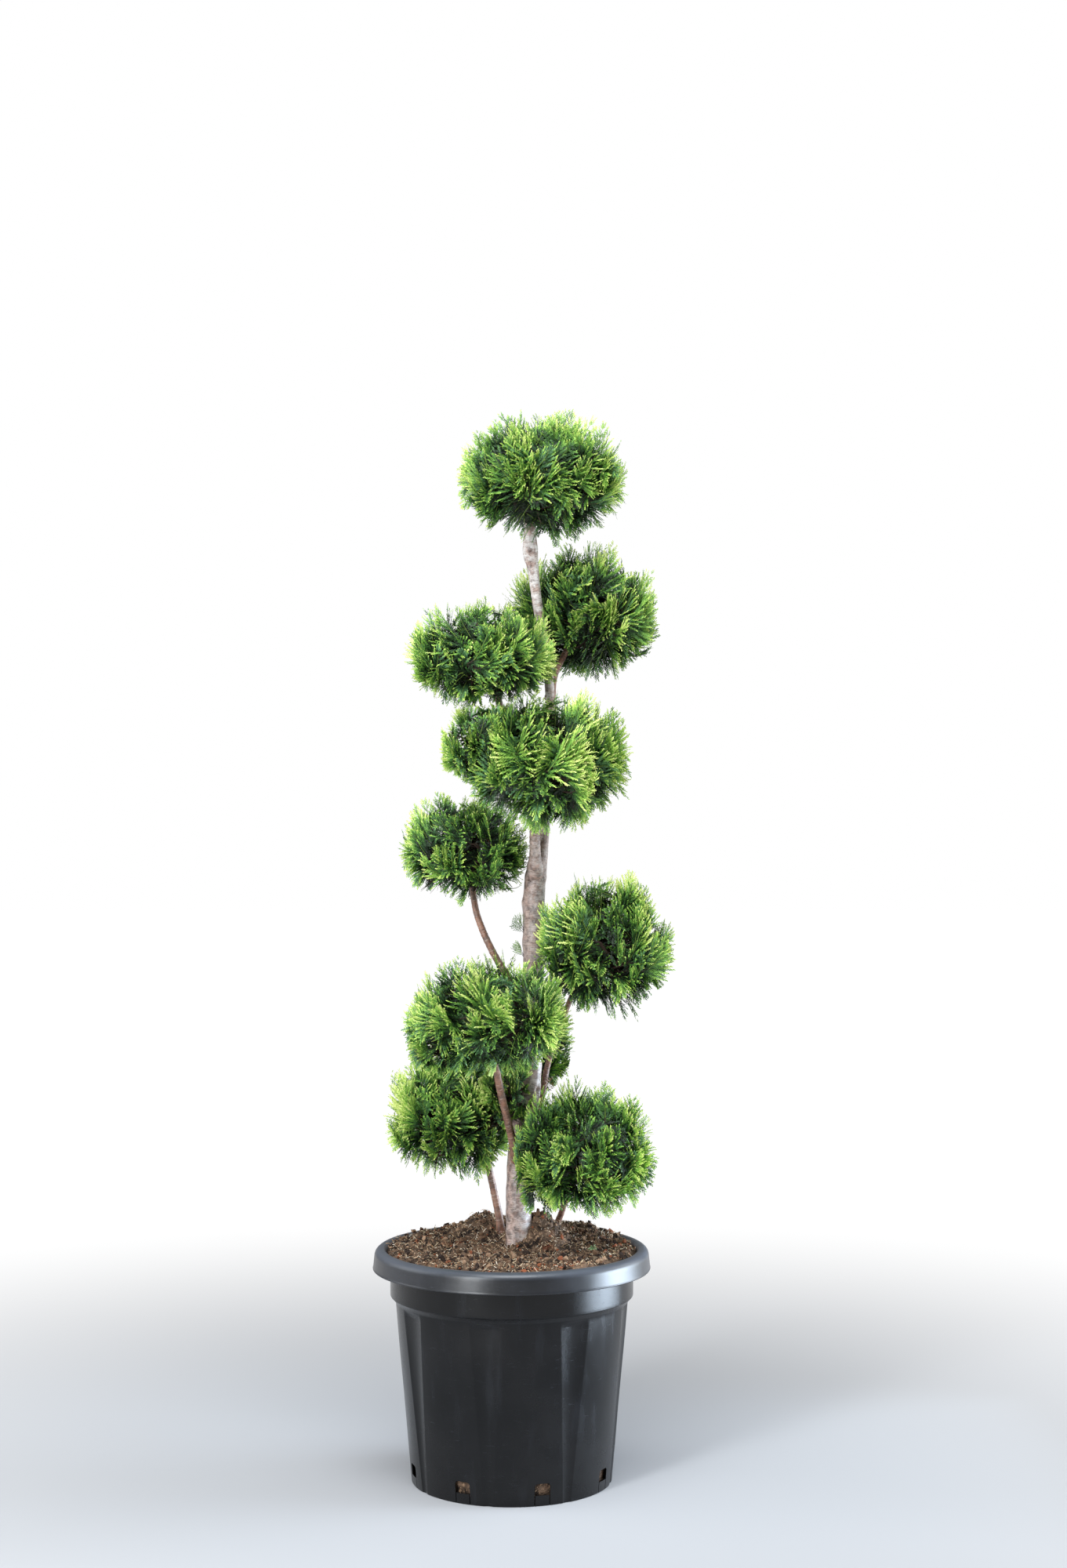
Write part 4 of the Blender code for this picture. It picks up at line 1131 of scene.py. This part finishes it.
# Side shoots of a spray, which are its combs, by their share of its midrib and of its length.
COMBS = 19
COMB_SHARES = (0.18, 0.94)
COMB_SHIFT = 0.03
COMB_ANGLE = 42.0
COMB_CLOSING = 20
COMB_ANGLE_WANDER = 4.0
COMB_LENGTH = 0.70
COMB_END = 1.02
COMB_TAPER = 0.80
COMB_LENGTHS = (0.80, 1.10)
COMB_LEAST = 0.003
COMB_STUB = 0.02
COMB_FIRST = 0.60
COMB_WIDEST = 0.30
COMB_CURL = 0.16
COMB_FACING_WANDER = 0.06
HANGING_CLOSER = 0.75
HANGING_CUP = 0.12
STANDING_CUP = 0.20
CUP_WANDER = 0.05
END_COMB_TURN = 0.1
END_COMB_LENGTH = 0.16


def grow_combs(sprays, combs):
    """Side shoots on each spray's midrib, alternately left and right, and the midrib's own end."""
    count = len(sprays["roots"])
    size = np.linalg.norm(sprays["tips"] - sprays["roots"], axis=1)[:, None]
    hanging = sprays["hanging"]
    shares = np.linspace(*COMB_SHARES, combs) + rng.uniform(-COMB_SHIFT, COMB_SHIFT, (count, combs))
    starts, heading = rachis(sprays, shares)
    facing = sprays["facing"][:, None, :] + COMB_FACING_WANDER * rng.normal(size=heading.shape)
    facing = square_to(facing, heading)
    across = np.cross(facing, heading)
    wander = rng.normal(0.0, COMB_ANGLE_WANDER, shares.shape)
    turn = np.radians(COMB_ANGLE - COMB_CLOSING * shares + wander)
    turn *= np.where(hanging, HANGING_CLOSER, 1.0)[:, None]
    turn *= np.where(np.arange(combs) % 2 == 0, 1, -1)
    length = size * COMB_LENGTH * (COMB_END - shares) ** COMB_TAPER
    length = length * rng.uniform(*COMB_LENGTHS, shares.shape) + COMB_LEAST
    length *= COMB_FIRST + (1 - COMB_FIRST) * smoothstep(0.0, COMB_WIDEST, shares)
    turn[:, -1] *= END_COMB_TURN
    length[:, -1] = END_COMB_LENGTH * size[:, 0]
    cup = rng.normal(0.0, 1.0, (count, 1)) * np.where(hanging, HANGING_CUP, STANDING_CUP)[:, None]
    cup = cup + rng.normal(0.0, CUP_WANDER, shares.shape)
    ahead = np.cos(turn)[..., None] * heading + np.sin(turn)[..., None] * across
    ahead = unit(ahead + cup[..., None] * facing)
    directions = {"ahead": ahead, "facing": square_to(facing, ahead), "curl": COMB_CURL * heading}
    grown = {name: vectors.reshape(-1, 3) for name, vectors in directions.items()}
    return {"start": starts.reshape(-1, 3), "length": length.ravel(),
            "spray": np.arange(count).repeat(combs), **grown}


# Twiglets on a comb: how close, how wide apart they point, how big, and how far they stray.
TWIGLET_STEP = 0.0032
TWIGLET_FIRST = 0.4
TWIGLET_ANGLE = 28.0
TWIGLET_OPENING = 1.05
TWIGLET_CLOSING = 0.45
TWIGLET_ANGLE_WANDER = 6.0
TWIGLET_GROWTH = 0.060
TWIGLET_LEAST = 0.0040
TWIGLET_TAPER = 1.15
TWIGLET_SIZES = (0.8, 1.2)
TWIGLET_SHORTEST = 0.0016
TWIGLET_CHECKED = 0.7
TWIGLET_WIDTH = 0.0015
TWIGLET_TIP = 0.45
TWIGLET_TILT = 0.04
TWIGLET_TILT_WANDER = 0.12
TWIGLET_ROLL = 0.25
TWIGLET_FOLD = 0.00030
CLIP_WANDER = 0.035
STRAY_SHAPE = 1.2
STRAY_SIZE = 0.030
STRAY_LIMIT = 0.07
TWIGLET_STRAY = 0.03
HIDDEN_DEPTH = 0.62
HIDDEN_SHARE = 0.35


def twiglets_on(combs, step):
    """Leafy twiglets along each comb: their roots, ways, lengths, facings, combs and shares.

    They stand on both sides by turns, so there are two to a step.
    """
    places = np.arange(TWIGLET_FIRST, combs["length"].max() / step, 0.5) * step
    share = places[None, :] / combs["length"][:, None]
    comb, index = np.nonzero(share < 1)
    share = share[comb, index]
    ahead, facing = combs["ahead"][comb], combs["facing"][comb]
    length = combs["length"][comb]
    base = combs["start"][comb] + ahead * (share * length)[:, None]
    base += combs["curl"][comb] * (share ** 2 * length)[:, None]
    heading = unit(ahead + 2 * share[:, None] * combs["curl"][comb])
    across = unit(np.cross(facing, heading))
    wander = rng.normal(0.0, TWIGLET_ANGLE_WANDER, len(comb))
    turn = np.radians(TWIGLET_ANGLE * (TWIGLET_OPENING - TWIGLET_CLOSING * share) + wander)
    turn *= np.where(index % 2 == 0, 1, -1)
    way = np.cos(turn)[:, None] * heading + np.sin(turn)[:, None] * across
    wander = rng.normal(0.0, TWIGLET_TILT_WANDER, len(comb))
    tilt = np.where(index // 2 % 2 == 0, 1, -1) * TWIGLET_TILT + wander
    way = unit(way + facing * tilt[:, None])
    size = (TWIGLET_GROWTH * length + TWIGLET_LEAST) * np.sqrt(TWIGLET_TAPER - share)
    size = size * rng.uniform(*TWIGLET_SIZES, len(comb))
    return base, way, size, facing, comb, share


def as_straps(base, way, size, facing, width):
    """Each twiglet as a narrow folded strap of four points."""
    wing = turned(unit(np.cross(way, facing)), way, rng.normal(0.0, TWIGLET_ROLL, len(size)))
    wing *= (width / 2 * rng.uniform(*TWIGLET_SIZES, len(size)))[:, None]
    tip = base + way * size[:, None] + TWIGLET_FOLD * facing * rng.normal(size=(len(size), 1))
    folded = TWIGLET_FOLD * facing
    return np.stack([base - wing, base + wing - folded, tip + TWIGLET_TIP * wing,
                     tip - TWIGLET_TIP * wing - folded], axis=1)


def grow_twiglets(tuft, combs, step, width, limbs, clip):
    """A tuft's twiglets, clipped at its surface and clear of the limbs and the next tufts."""
    stray = rng.gamma(STRAY_SHAPE, STRAY_SIZE, len(combs["spray"])).clip(0, STRAY_LIMIT)
    limit = clip[combs["spray"]] + stray
    start_depth = depth_in(tuft, combs["start"])
    ends = combs["start"] + (combs["ahead"] + combs["curl"]) * combs["length"][:, None]
    beyond = np.maximum(depth_in(tuft, ends) - start_depth, 1e-3)
    combs["length"] *= ((limit - start_depth) / beyond).clip(COMB_STUB, 1.0)
    base, way, size, facing, comb, share = twiglets_on(combs, step)
    limit = limit[comb] + TWIGLET_STRAY
    from_depth = depth_in(tuft, base)
    to_depth = depth_in(tuft, base + way * size[:, None])
    room = ((limit - from_depth) / np.maximum(to_depth - from_depth, 1e-4)).clip(0, 1)
    size *= np.where(to_depth > limit, room, 1.0)
    shown = (from_depth > HIDDEN_DEPTH) | (rng.random(len(size)) < HIDDEN_SHARE)
    keep = (size > TWIGLET_SHORTEST) & shown
    keep[keep] = allowed(tuft, (base + TWIGLET_CHECKED * way * size[:, None])[keep], limbs)
    base, way, size, facing, comb, share = (a[keep] for a in (base, way, size, facing, comb, share))
    return as_straps(base, way, size, facing, width), comb, share


# Leaf colours from shade to tip, then the bluish ones and the withered one.
LEAF_ROUGHNESS = 0.50
LEAF_COLOURS = (
    ("leaf_shaded", (20, 36, 18)),
    ("leaf_deep", (38, 68, 32)),
    ("leaf_green", (62, 102, 44)),
    ("leaf_fresh", (96, 142, 56)),
    ("leaf_bright", (136, 178, 74)),
    ("leaf_light", (178, 206, 98)),
    ("leaf_tip", (212, 226, 134)),
    ("leaf_blue_deep", (58, 96, 58)),
    ("leaf_blue_green", (98, 142, 88)),
    ("leaf_withered", (122, 82, 46)),
)
BRIGHTEST = 6
BLUE_OF = {2: 7, 3: 8}
WITHERED = 9
HANGING_BLUISH = 0.40
STANDING_BLUISH = 0.12
WITHERED_SHARE = 0.006
WITHERED_UNDER = 0.70

# Steps of colour: painted light for reaching the outside and the top, the lighter young growth towards a
# comb's tip, painted shade for hanging sprays, and how far each group, spray, comb and twiglet wanders
# from that.
SHADED_DEPTH = 0.70
LIT_DEPTH = 1.02
PAINTED_LIGHT_OUTSIDE = 3.2
TIP_BRIGHTER = 2.6
PAINTED_LIGHT_ON_TOP = 0.8
ALL_DARKER = 0.65
PAINTED_SHADE_HANGING = 0.3
GROUP_TONE = 0.50
SPRAY_TONE = 0.40
COMB_TONE = 0.45
TWIGLET_TONE = 0.18


def colour_kinds(tuft, straps, comb, share, combs, sprays, tone):
    """Which leaf colour each twiglet has: brighter outwards and upwards as painted light, darker on
    hanging sprays as painted shade, and brighter towards its comb's tip.
    """
    spray = combs["spray"][comb]
    depth = depth_in(tuft, straps[:, 2])
    centre = np.array(TUFTS[tuft][0][0][0])
    upward = unit(straps[:, 2] - centre)[:, 2]
    count = len(sprays["roots"])
    # Painted light and shade: twiglets deep inside are darker, outer and upper ones brighter, and hanging
    # sprays darker.
    lit = PAINTED_LIGHT_OUTSIDE * smoothstep(SHADED_DEPTH, LIT_DEPTH, depth)
    value = lit + TIP_BRIGHTER * share ** 2.0 + PAINTED_LIGHT_ON_TOP * upward + tone - ALL_DARKER
    value -= PAINTED_SHADE_HANGING * sprays["hanging"][spray]
    value += rng.normal(0.0, GROUP_TONE, math.ceil(count / SPRAYS_IN_GROUP))[spray // SPRAYS_IN_GROUP]
    value += rng.normal(0.0, SPRAY_TONE, count)[spray]
    value += rng.normal(0.0, COMB_TONE, len(combs["spray"]))[comb]
    value += rng.normal(0.0, TWIGLET_TONE, len(comb))
    kinds = np.rint(value).clip(0, BRIGHTEST).astype(int)
    bluish_share = np.where(sprays["hanging"], HANGING_BLUISH, STANDING_BLUISH)
    bluish = (rng.random(count) < bluish_share)[spray]
    for plain, blue in BLUE_OF.items():
        kinds[bluish & (kinds == plain)] = blue
    withered = (rng.random(count) < WITHERED_SHARE)[spray] & (depth < WITHERED_UNDER)
    kinds[withered] = WITHERED
    return kinds


def surface_size(lobe):
    """A lobe's surface, as a number that its sprays are counted by."""
    return math.prod(lobe[1]) ** (2 / 3)


def keep_twigs(courses, thickness, green, least=0.0):
    """Keep twigs for the one piece that holds them all: courses, radii, and whether they're green."""
    radii = thickness * np.maximum(TWIG_RADII, least)
    twig_paths.append(courses)
    twig_radii.append(radii[None, :].repeat(len(courses), 0))
    twig_greens.append(np.full(len(courses), green))


def strap_piece(name, straps, kinds):
    """Straps as one piece of foliage, two triangles to each."""
    quads = np.arange(len(straps) * 4).reshape(-1, 4)
    faces = np.stack([quads[:, (0, 1, 2)], quads[:, (0, 2, 3)]], axis=1).reshape(-1, 3)
    piece = add_piece(name, straps, faces, leaf_finishes, False, kinds.repeat(2))
    return piece


leaf_finishes = []
for name, colour in LEAF_COLOURS:
    values = {"Base Color": shade(*colour), "Roughness": LEAF_ROUGHNESS, "Specular IOR Level": 0.35}
    leaf_finishes.append(finish(name, values)[0])
twig_paths, twig_radii, twig_greens = [], [], []
top_surface = surface_size(TUFTS["foliage_top"][0][0])
for tuft_name, (lobes, offset, tone, _) in TUFTS.items():
    rng = np.random.default_rng(int(100 + offset))
    middle = np.mean([lobe[0] for lobe in lobes], axis=0)
    limbs = limbs_near([path[::2] for path in leaders.values()], middle, LIMBS_NEAR)
    limbs = limbs[depth_in(tuft_name, limbs[:, :3]) > CORE_SHARE]
    tuft_straps, tuft_kinds = [], []
    for lobe in lobes:
        area = surface_size(lobe) / top_surface
        outer = place_sprays(tuft_name, lobe, SPRAYS_ON_TOP * area)
        inner = place_shingles(tuft_name, lobe, SHINGLES_ON_TOP * area)
        for sprays, comb_count, step, width, shift in (
                (outer, COMBS, TWIGLET_STEP, TWIGLET_WIDTH, 0.0),
                (inner, SHINGLE_COMBS, SHINGLE_STEP, SHINGLE_WIDTH, SHINGLE_BRIGHTER)):
            combs = grow_combs(sprays, comb_count)
            clip = sprays["clip"] + CLIP_WANDER * rng.random(len(sprays["roots"]))
            straps, comb, share = grow_twiglets(tuft_name, combs, step, width, limbs, clip)
            tuft_straps.append(straps)
            tuft_kinds.append(colour_kinds(tuft_name, straps, comb, share, combs, sprays, tone + shift))
            keep_twigs(twig_courses(sprays), 1.0, True)
        group_joints = outer["joints"][::SPRAYS_IN_GROUP]
        keep_twigs(branchlets(leaders[tuft_name], group_joints), BRANCHLET_THICKER, False, BRANCHLET_LEAST)
        keep_twigs(bare_twigs(lobe, BARE_TWIGS), BARE_TWIG_THINNER, False)
    piece = strap_piece(tuft_name + "_sprays", np.concatenate(tuft_straps), np.concatenate(tuft_kinds))
    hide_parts(tuft_name)


# Loose sprigs: each as root, tip, way it faces, and colour. Two young shoots grow on the bare
# trunk's left side, a withered one hangs by the side bough, and a fallen one lies on the compost.
FALLEN_ROOT = (0.1190, -0.0470)
FALLEN_TIP = (0.1090, -0.0430)
SPRIGS = (
    ((0.0165, 0.002, 0.7560), (0.0040, -0.004, 0.7740), (0.2, -1.0, 0.2), 3),
    ((0.0165, 0.001, 0.7580), (0.0085, -0.010, 0.7780), (0.8, -0.6, 0.1), 4),
    ((0.0165, 0.003, 0.7540), (0.0020, 0.002, 0.7640), (0.1, -0.9, 0.5), 2),
    ((0.0160, 0.002, 0.7210), (0.0040, -0.004, 0.7360), (0.2, -1.0, 0.3), 3),
    ((0.0160, 0.001, 0.7230), (0.0080, -0.008, 0.7400), (0.7, -0.7, 0.1), 4),
    ((0.0465, 0.016, 0.5360), (0.0580, 0.004, 0.5420), (0.1, -1.0, 0.4), WITHERED),
    ((0.0460, 0.015, 0.5380), (0.0540, 0.004, 0.5500), (0.5, -0.8, 0.1), WITHERED),
    ((*FALLEN_ROOT, soil_height(*FALLEN_ROOT) + 0.002),
     (*FALLEN_TIP, soil_height(*FALLEN_TIP) + 0.005), (0.1, -0.5, 1.0), 8),
)
SPRIG_COMBS = 9
SPRIG_STEP = 0.0028
SPRIG_SMALLER = 0.65
SPRIG_TWIG_THINNER = 0.5
SPRIG_BULGE = (0.0, 0.0, 0.001)

rng = np.random.default_rng(40)
roots, tips, facings = (np.array([sprig[i] for sprig in SPRIGS]) for i in range(3))
sprigs = {"roots": roots, "tips": tips, "facing": square_to(facings, unit(tips - roots)),
          "bulge": np.tile(SPRIG_BULGE, (len(roots), 1)), "hanging": np.zeros(len(roots), bool),
          "joints": roots}
combs = grow_combs(sprigs, SPRIG_COMBS)
base, way, size, facing, comb, share = twiglets_on(combs, SPRIG_STEP)
straps = as_straps(base, way, size * SPRIG_SMALLER, facing, TWIGLET_WIDTH * SPRIG_SMALLER)
strap_piece("loose_sprigs", straps, np.array([sprig[3] for sprig in SPRIGS])[combs["spray"][comb]])
keep_twigs(twig_courses(sprigs), SPRIG_TWIG_THINNER, True)


# Twigs: all of them in one piece. They are brown where they fork inside the tufts, and green
# further out along the midribs of the sprays. Branchlets and bare twigs are brown to their ends.
TWIG_SIDES = 3
TWIG_COLOURS = ((58, 44, 36), (104, 128, 52))
LAST_BROWN = 4

points, faces = tubes(np.concatenate(twig_paths), np.concatenate(twig_radii), TWIG_SIDES)
twig_finishes = loose_colours("twig", TWIG_COLOURS, 0.6)
stretches = np.tile(np.arange(len(TWIG_RADII) - 1).repeat(TWIG_SIDES), 2)
kinds = ((stretches > LAST_BROWN)[None, :] & np.concatenate(twig_greens)[:, None]).astype(int).ravel()
twigs = add_piece("foliage_twigs", points, faces, twig_finishes, True, kinds)


# Floor and light: a pale floor that fades to white, a bright studio all round, and soft lights
# overhead and at both sides. A tall strip at the front left and a low bluish panel close on the
# right draw the long reflections on the pot's wall.
FLOOR_SIZE = 30.0
DAYLIGHT = (0.93, 0.97, 1.0)
SKYLIGHT = (0.70, 0.84, 1.0)
STUDIO_LIGHT = (0.95, 0.97, 1.0, 1.0)
STUDIO_STRENGTH = 0.30
FADE_START = 0.35
FADE_END = 2.1

# Lights: name, place, what it's aimed at, width, height, watts, spread in degrees, and colour.
LIGHTS = (
    ("overhead", (0.0, -1.3, 3.3), (0.0, 0.0, 0.9), 2.0, 2.0, 100.0, 180, DAYLIGHT),
    ("right", (2.0, 0.5, 1.05), (0.0, 0.0, 0.9), 2.0, 1.7, 30.0, 180, DAYLIGHT),
    ("low_right", (0.92, 0.02, 0.29), (0.0, -0.03, 0.29), 0.86, 0.50, 4.3, 60, SKYLIGHT),
    ("strip", (-1.5, -2.3, 1.35), (0.0, 0.0, 0.85), 0.45, 2.2, 75.0, 180, DAYLIGHT),
    ("left", (-2.3, 0.2, 1.3), (0.0, 0.0, 0.9), 1.6, 1.6, 20.0, 180, DAYLIGHT),
)

floor_paint, shader, place = finish("pale_floor", {"Roughness": 0.8, "Specular IOR Level": 0.2})
shader.inputs["Emission Strength"].default_value = 1.0
distance = place.node("ShaderNodeVectorMath", {"operation": "LENGTH"}, {0: place}, 1)
far_off = distance.between(FADE_START, FADE_END)
far_off.tint(shade(178, 179, 182), shade(0, 0, 0)).feeds(shader, "Base Color")
far_off.tint(shade(0, 0, 0), shade(255, 255, 255)).feeds(shader, "Emission Color")
half = FLOOR_SIZE / 2
floor_mesh = bpy.data.meshes.new("floor")
floor_mesh.from_pydata([(-half, -half, 0), (half, -half, 0), (half, half, 0), (-half, half, 0)], [],
                       [(0, 1, 2, 3)])
floor_mesh.materials.append(floor_paint)
floor = bpy.data.objects.new("floor", floor_mesh)
bpy.context.collection.objects.link(floor)

for name, place, target, width, height, power, spread, tint in LIGHTS:
    lamp = bpy.data.lights.new(name, "AREA")
    lamp.shape = "RECTANGLE"
    lamp.size = width
    lamp.size_y = height
    lamp.energy = power
    lamp.spread = math.radians(spread)
    lamp.color = tint
    light = bpy.data.objects.new(name, lamp)
    light.location = place
    light.rotation_euler = (Vector(target) - Vector(place)).to_track_quat("-Z", "Y").to_euler()
    bpy.context.collection.objects.link(light)

world = bpy.data.worlds.new("studio")
world.use_nodes = True
bpy.context.scene.world = world
nodes, links = world.node_tree.nodes, world.node_tree.links
seen = nodes["Background"]
seen.inputs["Color"].default_value = (1.0, 1.0, 1.0, 1.0)
seen.inputs["Strength"].default_value = 1.0
lighting = nodes.new("ShaderNodeBackground")
lighting.inputs["Color"].default_value = STUDIO_LIGHT
lighting.inputs["Strength"].default_value = STUDIO_STRENGTH
ray = nodes.new("ShaderNodeLightPath")
chosen = nodes.new("ShaderNodeMixShader")
links.new(ray.outputs["Is Camera Ray"], chosen.inputs["Fac"])
links.new(lighting.outputs["Background"], chosen.inputs[1])
links.new(seen.outputs["Background"], chosen.inputs[2])
links.new(chosen.outputs["Shader"], nodes["World Output"].inputs["Surface"])
bpy.context.scene.view_settings.view_transform = "Standard"
